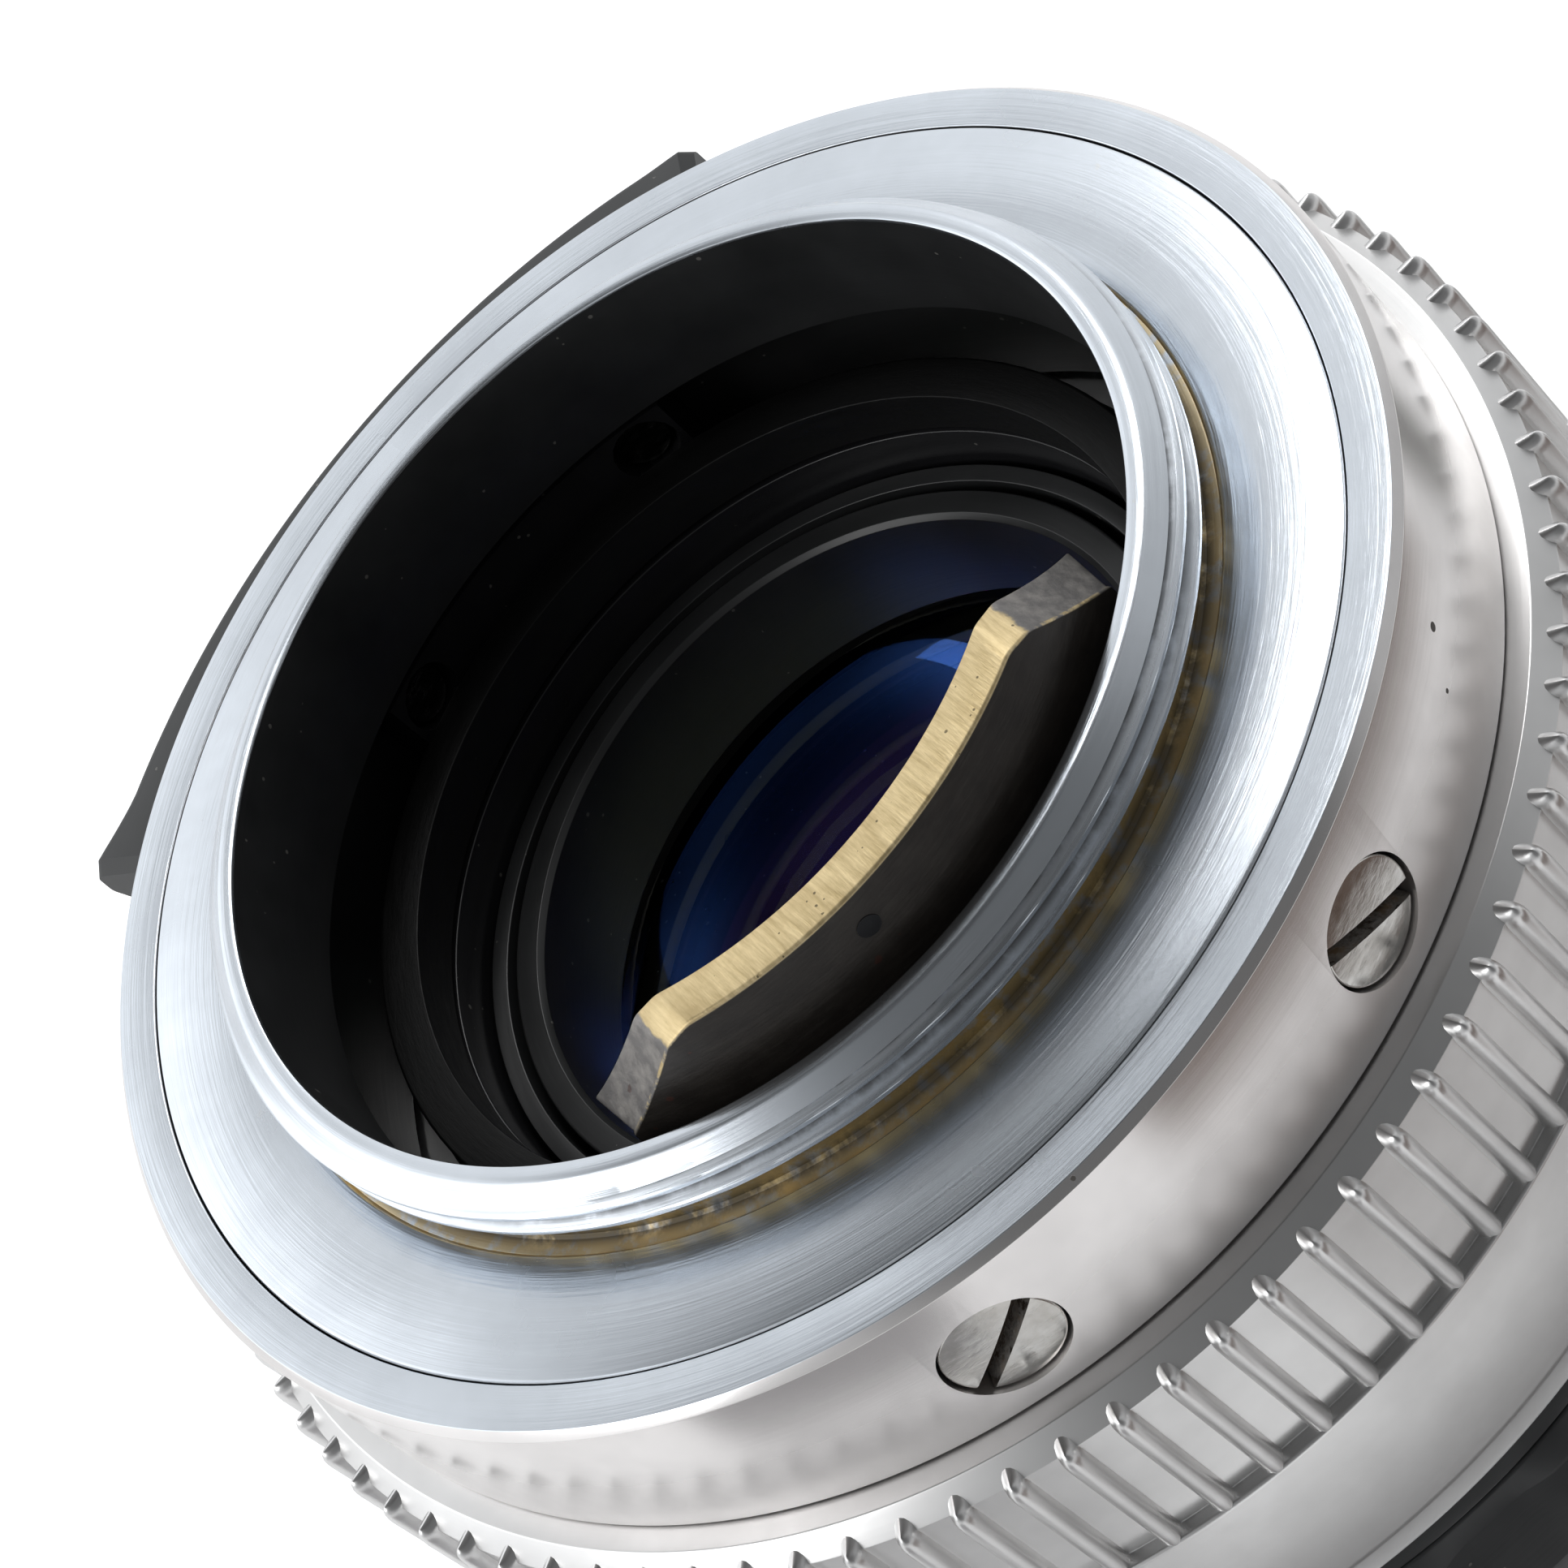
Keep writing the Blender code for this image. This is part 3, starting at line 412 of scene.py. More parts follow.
def chrome(name, colour, rough, grain, grain_scale, dirt=0.6, wear=0.4, scratch=0.3, reach=0.0008, dots=0.0,
           brass_zone=None, satin_end=None):
    mat, n, shader, spot = new_material(name, colour, rough, 1.0)
    polar = n.use(GROUPS["polar"], {"Vector": spot})
    marks = n.use(GROUPS["turning_marks"], {"Vector": spot, "Scale": grain_scale})
    grime = n.use(GROUPS["grime"], {"Vector": spot, "Reach": reach, "Amount": dirt, "Scale": 900.0})
    worn = n.use(GROUPS["edge_wear"], {"Vector": spot, "Amount": wear})["Mask"]
    scored = {"Vector": spot, "Scale": 260.0, "Width": 0.012, "Amount": scratch}
    lines = n.use(GROUPS["scratches"], scored)["Mask"]
    haze = n.noise(spot, 160.0, 4.0, 0.6)
    tone = n.mix(n.ramp(haze, 0.35, 0.7), (*colour, 1), (*[c * 0.86 for c in colour], 1))
    tone = n.mix(n.math("MULTIPLY", n.ramp(marks["Bands"], 0.35, 0.65), 0.25 * min(1, grain * 2)), tone,
                 (*[c * 0.7 for c in colour], 1))
    brass = n.math("MULTIPLY", worn, 0.75)
    if brass_zone:
        low, high, most = brass_zone
        zone = n.math("MULTIPLY", n.ramp(polar["Height"], low, low + 0.0002),
                      n.ramp(polar["Height"], high + 0.0001, high))
        zone = n.math("MULTIPLY", zone, n.ramp(polar["Radius"], most + 0.00012, most))
        ragged = n.ramp(n.noise(polar["Around"], 1100.0, 4.0, 0.6), 0.34, 0.5)
        brass = n.math("MAXIMUM", brass, n.math("MULTIPLY", zone, ragged))
    tone = n.mix(brass, tone, BARE_BRASS if brass_zone else BRASS)
    spots = n.use(GROUPS["specks"], {"Vector": spot, "Scale": 700.0, "Size": 0.16, "Amount": dots})["Mask"]
    dark = n.math("MAXIMUM", grime["Mask"], n.math("MULTIPLY", spots, 0.9 if dots > 0 else 0.0))
    if brass_zone:
        # thread grooves and undercut painted dark in noisy patches: grime and painted shade
        deep = n.add("ShaderNodeAttribute", attribute_name="deep").outputs["Fac"]
        groove_grime_and_shade = n.ramp(n.noise(polar["Around"], 500.0, 5.0, 0.7), 0.26, 0.5)
        dark = n.math("MAXIMUM", dark, n.math("MULTIPLY", deep, n.math("MULTIPLY", groove_grime_and_shade, 0.95)))
    # dark holds dirt, specks and the painted shade of the grooves
    tone = n.mix(dark, tone, DIRT_AND_SHADE)
    n.put(shader.inputs["Base Color"], tone)
    n.put(shader.inputs["Metallic"], n.math("SUBTRACT", 1.0, n.math("MULTIPLY", dark, 0.85)))
    level = n.math("ADD", rough, n.math("MULTIPLY", n.math("SUBTRACT", haze, 0.5), 0.12))
    level = n.math("ADD", level, n.math("MULTIPLY", lines, 0.15))
    level = n.mix_value(dark, level, 0.75)
    level = n.mix_value(n.math("MULTIPLY", brass, 0.6), level, 0.4)
    if satin_end:
        level = n.math("ADD", level, n.ramp(polar["Height"], satin_end[0], satin_end[1], 0.0, 0.28))
    n.put(shader.inputs["Roughness"], n.math("MAXIMUM", level, 0.03))
    height = n.math("MULTIPLY", marks["Height"], grain)
    height = n.math("SUBTRACT", height, n.math("MULTIPLY", lines, 0.35 * scratch))
    height = n.math("SUBTRACT", height, n.math("MULTIPLY", spots, 0.6 if dots > 0 else 0.0))
    bump(n, shader, height, 0.5, 0.00004)
    return mat


def black(name, rough=0.42, tone=(0.022, 0.022, 0.024), wear=0.35, marks_scale=4000.0):
    mat, n, shader, spot = new_material(name, tone, rough, 0.0)
    marks = n.use(GROUPS["turning_marks"], {"Vector": spot, "Scale": marks_scale})
    worn = n.use(GROUPS["edge_wear"], {"Vector": spot, "Amount": wear, "Scale": 700.0})["Mask"]
    dust = n.use(GROUPS["specks"], {"Vector": spot, "Scale": 1500.0, "Size": 0.14, "Amount": 0.25})["Mask"]
    haze = n.noise(spot, 220.0, 4.0, 0.6)
    colour = n.mix(n.ramp(haze, 0.3, 0.75), (*tone, 1), (*[c * 1.7 for c in tone], 1))
    colour = n.mix(n.math("MULTIPLY", dust, 0.5), colour, (0.25, 0.24, 0.22, 1))
    colour = n.mix(worn, colour, BRASS)
    n.put(shader.inputs["Base Color"], colour)
    n.put(shader.inputs["Metallic"], worn)
    uneven = n.math("MULTIPLY", n.math("SUBTRACT", haze, 0.5), 0.2)
    n.put(shader.inputs["Roughness"], n.math("ADD", rough, uneven))
    bump(n, shader, marks["Height"], 0.35, 0.00003)
    return mat


def cam_material():
    """Bare ground brass on the rear face, blackened on the ramps and sides, with worn brass edges; lower
    down, deep in the bore, it is painted near black as shade.
    """
    mat, n, shader, spot = new_material("cam_brass", BARE_BRASS[:3], 0.35, 1.0)
    polar = n.use(GROUPS["polar"], {"Vector": spot})
    normal = n.add("ShaderNodeSeparateXYZ", {0: n.add("ShaderNodeNewGeometry").outputs["Normal"]}).outputs
    high = n.ramp(polar["Height"], (TOP + 2.55) * MM, (TOP + 2.75) * MM)
    edge = n.add("ShaderNodeAttribute", attribute_name="edge").outputs["Fac"]
    parts = n.add("ShaderNodeSeparateXYZ", {0: spot}).outputs
    ragged = n.math("MULTIPLY", n.math("SUBTRACT", n.noise(spot, 1100.0, 4.0), 0.5), 0.0008)
    swing = n.math("ADD", n.math("ABSOLUTE", parts["Y"]), ragged)
    flat = n.math("MULTIPLY", n.ramp(normal["Z"], 0.3, 0.6), n.ramp(swing, 0.00845, 0.00835))
    chip = n.noise(spot, 1500.0, 5.0, 0.65)
    scar = n.math("MULTIPLY", edge, n.ramp(chip, 0.44, 0.55))
    scar = n.math("MULTIPLY", scar, n.ramp(polar["Height"], (TOP - 1.2) * MM, (TOP - 0.2) * MM))
    flat = n.math("MULTIPLY", flat, n.ramp(polar["Height"], (TOP - 1.0) * MM, (TOP - 0.2) * MM))
    bare = n.math("MAXIMUM", flat, scar)
    bare = n.math("MAXIMUM", bare, n.math("MULTIPLY", n.math("MULTIPLY", edge, high), 0.9))
    # grinding marks run across the face, a little off the radius
    squeeze = n.add("ShaderNodeVectorMath", {0: spot, 1: (0.12, 1.0, 0.2)}, operation="MULTIPLY").outputs[0]
    cuts = n.noise(squeeze, 4200.0, 5.0, 0.7)
    broad = n.noise(spot, 700.0, 4.0, 0.6)
    brass = n.mix(n.ramp(cuts, 0.3, 0.7), (0.50, 0.385, 0.20, 1), (0.80, 0.66, 0.40, 1))
    brass = n.mix(n.ramp(broad, 0.45, 0.75, 0.0, 0.5), brass, (0.42, 0.31, 0.15, 1))
    pits = n.use(GROUPS["specks"], {"Vector": spot, "Scale": 2600.0, "Size": 0.2, "Amount": 0.3})["Mask"]
    brass = n.mix(n.math("MULTIPLY", pits, 0.7), brass, DIRT_AND_SHADE)
    upper = n.ramp(normal["Z"], 0.15, 0.4)
    soot = n.mix(n.ramp(broad, 0.35, 0.7), (0.026, 0.022, 0.019, 1), (0.040, 0.034, 0.029, 1))
    streak = n.noise(n.add("ShaderNodeVectorMath", {0: polar["Around"], 1: (0.12, 1, 1)},
                           operation="MULTIPLY").outputs[0], 3500.0, 4.0, 0.7)
    soot = n.mix(n.ramp(streak, 0.5, 0.75, 0.0, 0.35), soot, (0.07, 0.062, 0.052, 1))
    ramp_tone = n.mix(n.ramp(chip, 0.4, 0.65), (0.20, 0.19, 0.185, 1), (0.34, 0.32, 0.30, 1))
    dull = n.mix(upper, soot, ramp_tone)
    stain = n.use(GROUPS["specks"], {"Vector": spot, "Scale": 900.0, "Size": 0.25, "Amount": 0.2})["Mask"]
    dull = n.mix(n.math("MULTIPLY", stain, 0.5), dull, (0.09, 0.03, 0.02, 1))
    # painted shade: below the rear face the cam goes near black, deep in the bore
    deep = n.ramp(polar["Height"], (TOP - 2.0) * MM, (TOP - 5.0) * MM)
    dull = n.mix(deep, dull, (0.008, 0.008, 0.008, 1))
    n.put(shader.inputs["Base Color"], n.mix(bare, dull, brass))
    n.put(shader.inputs["Metallic"], n.mix_value(bare, n.mix_value(upper, 0.25, 0.7), 1.0))
    level = n.mix_value(bare, n.ramp(streak, 0.3, 0.7, 0.36, 0.52), n.ramp(cuts, 0.3, 0.7, 0.38, 0.55))
    n.put(shader.inputs["Roughness"], level)
    bump(n, shader, n.mix_value(bare, n.math("MULTIPLY", streak, 0.6), cuts), 0.5, 0.00005)
    return mat


def screw_material(name, grease):
    mat, n, shader, spot = new_material(name, (0.62, 0.61, 0.59), 0.2, 1.0)
    grime = n.use(GROUPS["grime"], {"Vector": spot, "Reach": 0.0014, "Amount": grease, "Scale": 1600.0})
    broad = n.noise(spot, 900.0, 4.0, 0.6)
    scuff = n.noise(n.add("ShaderNodeMapping", {"Vector": spot, "Rotation": (0.4, 0.7, 0.3),
                                                 "Scale": (1, 0.06, 1)}).outputs[0], 4200.0, 3.0, 0.6)
    tone = n.mix(n.ramp(broad, 0.35, 0.7), (0.66, 0.65, 0.63, 1), (0.5, 0.48, 0.45, 1))
    rust = n.mix(n.ramp(broad, 0.45, 0.6), (0.05, 0.03, 0.016, 1), (0.20, 0.13, 0.07, 1))
    tone = n.mix(grime["Mask"], tone, rust)
    n.put(shader.inputs["Base Color"], tone)
    n.put(shader.inputs["Metallic"], n.math("SUBTRACT", 1.0, n.math("MULTIPLY", grime["Mask"], 0.9)))
    n.put(shader.inputs["Roughness"], n.mix_value(grime["Mask"], n.ramp(scuff, 0.3, 0.7, 0.1, 0.3), 0.8))
    bump(n, shader, n.math("SUBTRACT", n.math("MULTIPLY", scuff, 0.4), grime["Mask"]), 0.4, 0.00005)
    return mat


def glass(name, tint, reach):
    """Coated glass; reach is the radius in metres of the hollow its deeper surfaces mirror from."""
    mat, n, shader, spot = new_material(name, (0.94, 0.95, 1.0), 0.01, 0.0)
    shader.inputs["Transmission Weight"].default_value = 1.0
    shader.inputs["IOR"].default_value = 2.1
    shader.inputs["Specular IOR Level"].default_value = 1.0
    shader.inputs["Specular Tint"].default_value = (*tint, 1)
    dust = n.use(GROUPS["specks"], {"Vector": spot, "Scale": 1300.0, "Size": 0.10, "Amount": 0.2})["Mask"]
    haze = n.noise(spot, 300.0, 3.0)
    film = n.ramp(haze, 0.4, 0.8, 0.005, 0.03)
    n.put(shader.inputs["Roughness"], n.math("ADD", film, n.math("MULTIPLY", dust, 0.3)))
    radius = n.use(GROUPS["polar"], {"Vector": spot})["Radius"]
    hollow = n.math("DIVIDE", n.math("MULTIPLY", radius, radius), 2 * reach)
    bump(n, shader, hollow, 1.0, 1.0)
    return mat


LOOK = {
    "flange": chrome("satin_chrome", (0.74, 0.785, 0.84), 0.26, 1.0, 5200.0, dirt=1.0, wear=0.10,
                     scratch=0.25, brass_zone=((TOP - 3.5) * MM, (TOP - 2.55) * MM, 0.01958)),
    "band": chrome("polished_chrome", (0.86, 0.835, 0.825), 0.2, 0.10, 3000.0, dirt=0.9, wear=0.0,
                   scratch=0.2, reach=0.0003, dots=0.16, satin_end=((TOP - 6.2) * MM, (TOP - 9.8) * MM)),
    "ring": chrome("ring_chrome", (0.80, 0.795, 0.79), 0.3, 0.2, 3600.0, dirt=1.0, wear=0.0, scratch=0.12,
                   reach=0.0005, dots=0.08),
    "front": chrome("front_chrome", (0.8, 0.81, 0.83), 0.24, 0.5, 4200.0),
    "black": black("black_enamel", 0.38, (0.02, 0.021, 0.022), 0.12),
    "lever": black("lever_black", 0.5, (0.03, 0.031, 0.032), 0.18, 1500.0),
    "bore": black("bore_black", 0.33, (0.016, 0.0165, 0.017), 0.0, 3200.0),
    "well": black("well_black", 0.3, (0.010, 0.010, 0.011), 0.0, 3200.0),
    "cam": cam_material(),
    "screw": screw_material("screw_steel", 1.0),
    "grease": black("slot_grease", 0.7, (0.030, 0.019, 0.011), 0.0, 9000.0),
    "steel": black("blade_steel", 0.35, (0.03, 0.03, 0.035), 0.0, 1500.0),
    "rear_glass": glass("rear_glass", (0.06, 0.22, 1.0), 0.047),
    "inner_glass": glass("inner_glass", (0.26, 0.06, 0.5), 0.050),
}


# ---------------------------------------------------------------- mount

def build_mount():
    """Collar and flange, with a true helix from the lead-in chamfer to the undercut, and the band."""
    heights = list(np.linspace(-0.62, -2.5, 56))
    inner = [(BORE_R, -5.5), (BORE_R, -0.14), (18.0, -0.04), (18.08, 0.0), (18.52, 0.0), (18.64, -0.04),
             (18.74, -0.13), (LEAD_R, LEAD_Z)]
    outer_tail = [(18.9, -2.72), (18.86, -2.95), (18.86, -3.25), (19.0, -3.34), (19.56, -3.34),
                  (19.64, -3.24), (19.72, FLANGE_Z)]
    flange = [(21.4, FLANGE_Z), (23.85, FLANGE_Z), (23.94, -3.23), (EDGE_R, -3.3)]
    below = [(EDGE_R, -3.6), (FLANGE_R, -3.7), (FLANGE_R, SKIRT_END), (SKIRT_R, SKIRT_END), (SKIRT_R, -5.5)]
    verts, edge, deep = [], [], []
    count = None
    for k in range(FINE):
        t = math.tau * k / FINE
        row = list(inner)
        depths = [0.0] * len(inner)
        marks = [0, 0, .6, .8, .5, .8, .5, .6]
        for z in heights:
            phase = ((z + PITCH * k / FINE) / PITCH) % 1.0
            tooth = min(1, max(0, (abs(phase * 2 - 1) - 0.12) / 0.7))
            r = ROOT_R + (CREST_R - ROOT_R) * tooth
            r = min(r, LEAD_R + (LEAD_Z - z) * 2.0)
            if z < -2.3:
                r = min(r, CREST_R - (-2.3 - z) * 2.6)
            row.append((r, z))
            marks.append(1.0 if tooth > 0.97 else 0.0)
            # groove depth: the thread grooves are painted darker from this, grime and painted shade
            depths.append(max(0.0, 1 - tooth * 1.25) if z < -0.55 else 0.0)
        row += outer_tail + flange + below
        marks += [0, 0, 0, 0, 0, .5, .2, 0, .2, .8, .6, 0, 0, 0, 0, 0]
        count = len(row)
        # the undercut below the thread is painted darker too: grime and painted shade
        depths += [0.4, 0.5, 0.9, 0.9] + [0.0] * (count - len(depths) - 4)
        deep += depths
        verts += [(r * MM * math.cos(t), r * MM * math.sin(t), (TOP + z) * MM) for r, z in row]
        edge += marks
    obj = mesh_object("mount_ring_fine", verts, grid((FINE, count)), LOOK["flange"], edge, 30)
    obj.data.attributes.new("deep", "FLOAT", "POINT").data.foreach_set("value", np.array(deep, np.float32))
    outward(obj)
    # black inside the bore
    obj.data.materials.append(LOOK["bore"])
    for poly in obj.data.polygons:
        c = poly.center
        r, z = math.hypot(c.x, c.y) / MM, c.z / MM - TOP
        if (r < 18.0 and z < -0.1) or (z < -5.3 and r < 20.6):
            poly.material_index = 1
    place(obj, "mount", "satin_chrome", "mount_ring")

    points = [(BAND_IN, BAND_TOP), (BAND_R - 0.28, BAND_TOP), (BAND_R, -3.55), (BAND_R, BAND_END),
              (BAND_IN, BAND_END)]
    band = turned("rear_barrel_fine", points, [0.06, 0.05, 0.08, 0.1, 0.05], LOOK["band"], FINE, 5)
    band.data.materials.append(LOOK["flange"])
    for poly in band.data.polygons:
        if poly.center.z > (TOP + BAND_TOP - 0.03) * MM:
            poly.material_index = 1
    barrel_holes(band)
    place(band, "mount", "polished_chrome", "rear_barrel")


def cylinder(name, radius, low, high, sides, look):
    a = np.arange(sides) * math.tau / sides
    verts = [(radius * MM * math.cos(t), radius * MM * math.sin(t), low * MM) for t in a]
    verts += [(radius * MM * math.cos(t), radius * MM * math.sin(t), high * MM) for t in a]
    faces = [(i, (i + 1) % sides, sides + (i + 1) % sides, sides + i) for i in range(sides)]
    faces += [tuple(range(sides))[::-1], tuple(range(sides, 2 * sides))]
    return mesh_object(name, verts, faces, look)


def block(name, low, high, look):
    """A box between two corners in millimetres."""
    (x0, x1), (y0, y1), (z0, z1) = [(min(p, q), max(p, q)) for p, q in zip(low, high)]
    verts = [(x * MM, y * MM, z * MM) for z in (z0, z1) for x, y in ((x0, y0), (x1, y0), (x1, y1), (x0, y1))]
    faces = [(3, 2, 1, 0), (4, 5, 6, 7), (0, 1, 5, 4), (1, 2, 6, 5), (2, 3, 7, 6), (3, 0, 4, 7)]
    return mesh_object(name, verts, faces, look)


def apply_boolean(target, tools, operation="DIFFERENCE"):
    for tool in tools:
        step = target.modifiers.new("cut", "BOOLEAN")
        step.operation = operation
        step.solver = "EXACT"
        step.object = tool
    bpy.context.view_layer.update()
    graph = bpy.context.evaluated_depsgraph_get()
    solid = bpy.data.meshes.new_from_object(target.evaluated_get(graph))
    target.modifiers.clear()
    old = target.data
    target.data = solid
    solid.name = old.name
    bpy.data.meshes.remove(old)
    for tool in tools:
        bpy.data.objects.remove(tool)
    target.data.shade_smooth()
    target.data.set_sharp_from_angle(angle=math.radians(35))
    return target


# tag, angle round the lens and turn of the slot
SCREWS = [("1a", 19.3, -28), ("1b", -19.3, 41), ("2a", 199.3, -28), ("2b", 160.7, 41)]
LEVER_SCREWS = [("1", 166.5), ("2", 200.5)]


def barrel_holes(band):
    tools = []
    for tag, angle, _ in SCREWS:
        tool = cylinder("hole_" + tag, HEAD_HOLE_R, 23, 28, 64, LOOK["band"])
        tool.matrix_world = radial(angle, SCREW_Z)
        tools.append(tool)
    return apply_boolean(band, tools)


def screw(node, body, angle, height, twist, head, shank, slot):
    """Slotted screw along the radius: head (radius, low, high), shank (radius, low), slot (width, depth)."""
    head_r, head_low, head_high = head
    shank_r, shank_low = shank
    slot_w, slot_d = slot
    points = [(0, shank_low), (shank_r, shank_low), (shank_r, head_low), (head_r, head_low),
              (head_r, head_high), (0, head_high)]
    rounded, _ = fillet(points, [0, 0, 0, 0, 0.12, 0], 5)
    body_profile = rounded[:-1]
    crown = [(head_r * f, head_high + 0.10 * (1 - f * f)) for f in (0.9, 0.7, 0.45, 0.2, 0)]
    profile = body_profile + crown
    verts, faces = [], []
    sides = 72
    for r, z in profile:
        if r < 1e-9:
            verts.append((0, 0, z * MM))
        else:
            turns = [math.tau * k / sides for k in range(sides)]
            verts += [(r * MM * math.cos(t), r * MM * math.sin(t), z * MM) for t in turns]
    start, starts = 0, []
    for r, z in profile:
        starts.append(start)
        start += 1 if r < 1e-9 else sides
    for i in range(len(profile) - 1):
        a, b = starts[i], starts[i + 1]
        for k in range(sides):
            m = (k + 1) % sides
            if profile[i][0] < 1e-9:
                faces.append((a, b + m, b + k))
            elif profile[i + 1][0] < 1e-9:
                faces.append((a + k, a + m, b))
            else:
                faces.append((a + k, a + m, b + m, b + k))
    obj = mesh_object(node + "_fine", verts, faces, LOOK["screw"])
    outward(obj)
    half, reach = slot_w / 2, head_r + 1
    cut = block("slot", (-reach, -half, head_high - slot_d), (reach, half, head_high + 1), LOOK["screw"])
    cut.rotation_euler.z = math.radians(twist)
    apply_boolean(obj, [cut])
    obj.data.materials.append(LOOK["grease"])
    side = Vector((-math.sin(math.radians(twist)), math.cos(math.radians(twist)), 0))
    for poly in obj.data.polygons:
        deep = (head_high - slot_d - 0.01) * MM < poly.center.z < (head_high - 0.02) * MM
        if deep and abs(poly.center @ side) < (half + 0.005) * MM:
            poly.material_index = 1
    obj.data.transform(radial(angle, height))
    place(obj, body, slot_of(node), node)
    return obj


def repaint(node, look):
    """Gives a plain node its fine material."""
    materials = frame["nodes"][node].data.materials
    materials.clear()
    materials.append(LOOK[look])


def slot_of(node):
    for entry in frame["record"]["subparts"]:
        if entry["node"] == node:
            return entry["material_slot"]
    return "nickel"


build_mount()
for tag, angle, twist in SCREWS:
    head, shank, slot = (2.1, 24.2, 25.72), (1.0, 18.6), (0.62, 0.75)
    screw("barrel_screw_" + tag, "mount", angle, SCREW_Z, twist, head, shank, slot)
for tag, angle in LEVER_SCREWS:
    head, shank, slot = (1.3, 28.4, 29.9), (0.7, 25.4), (0.4, 0.45)
    screw("lever_screw_" + tag, "focus_ring", angle, LEVER_SCREW_Z, 30, head, shank, slot)
for node in ("guide_key_1", "guide_key_2"):
    repaint(node, "well")


# ---------------------------------------------------------------- focusing ring

def rib_tree(look):
    """Copies the rib round the ring; every size is a named input."""
    tree = bpy.data.node_groups.new("ribs_around", "GeometryNodeTree")
    tree.interface.new_socket("Geometry", in_out="INPUT", socket_type="NodeSocketGeometry")
    for label, kind, value in (("Count", "NodeSocketInt", RIBS), ("Phase", "NodeSocketFloat", 0.0)):
        tree.interface.new_socket(label, in_out="INPUT", socket_type=kind).default_value = value
    tree.interface.new_socket("Geometry", in_out="OUTPUT", socket_type="NodeSocketGeometry")
    n = Nodes(tree)
    start = n.add("NodeGroupInput").outputs
    line = n.add("GeometryNodeMeshLine", {"Count": start["Count"], "Offset": (0, 0, 0)})
    step = n.math("DIVIDE", math.tau, start["Count"])
    turn = n.math("ADD", n.math("MULTIPLY", n.add("GeometryNodeInputIndex").outputs[0], step), start["Phase"])
    spin = n.add("ShaderNodeCombineXYZ", {"Z": turn})
    copies = n.add("GeometryNodeInstanceOnPoints",
                   {"Points": line.outputs[0], "Instance": start["Geometry"], "Rotation": spin.outputs[0]})
    real = n.add("GeometryNodeRealizeInstances", {0: copies.outputs[0]})
    finish = n.add("GeometryNodeSetMaterial", {"Geometry": real.outputs[0], "Material": look})
    end = n.add("NodeGroupOutput")
    n.put(end.inputs["Geometry"], finish.outputs[0])
    return tree


def plain_mesh(obj, tree, values):
    """Runs a geometry tree on obj and leaves its result as a plain mesh."""
    step = obj.modifiers.new("nodes", "NODES")
    step.node_group = tree
    for item in tree.interface.items_tree:
        if item.item_type == "SOCKET" and item.in_out == "INPUT" and item.name in values:
            step[item.identifier] = values[item.name]
    obj.update_tag()
    bpy.context.view_layer.update()
    graph = bpy.context.evaluated_depsgraph_get()
    solid = bpy.data.meshes.new_from_object(obj.evaluated_get(graph))
    obj.modifiers.clear()
    obj.data = solid
    return obj


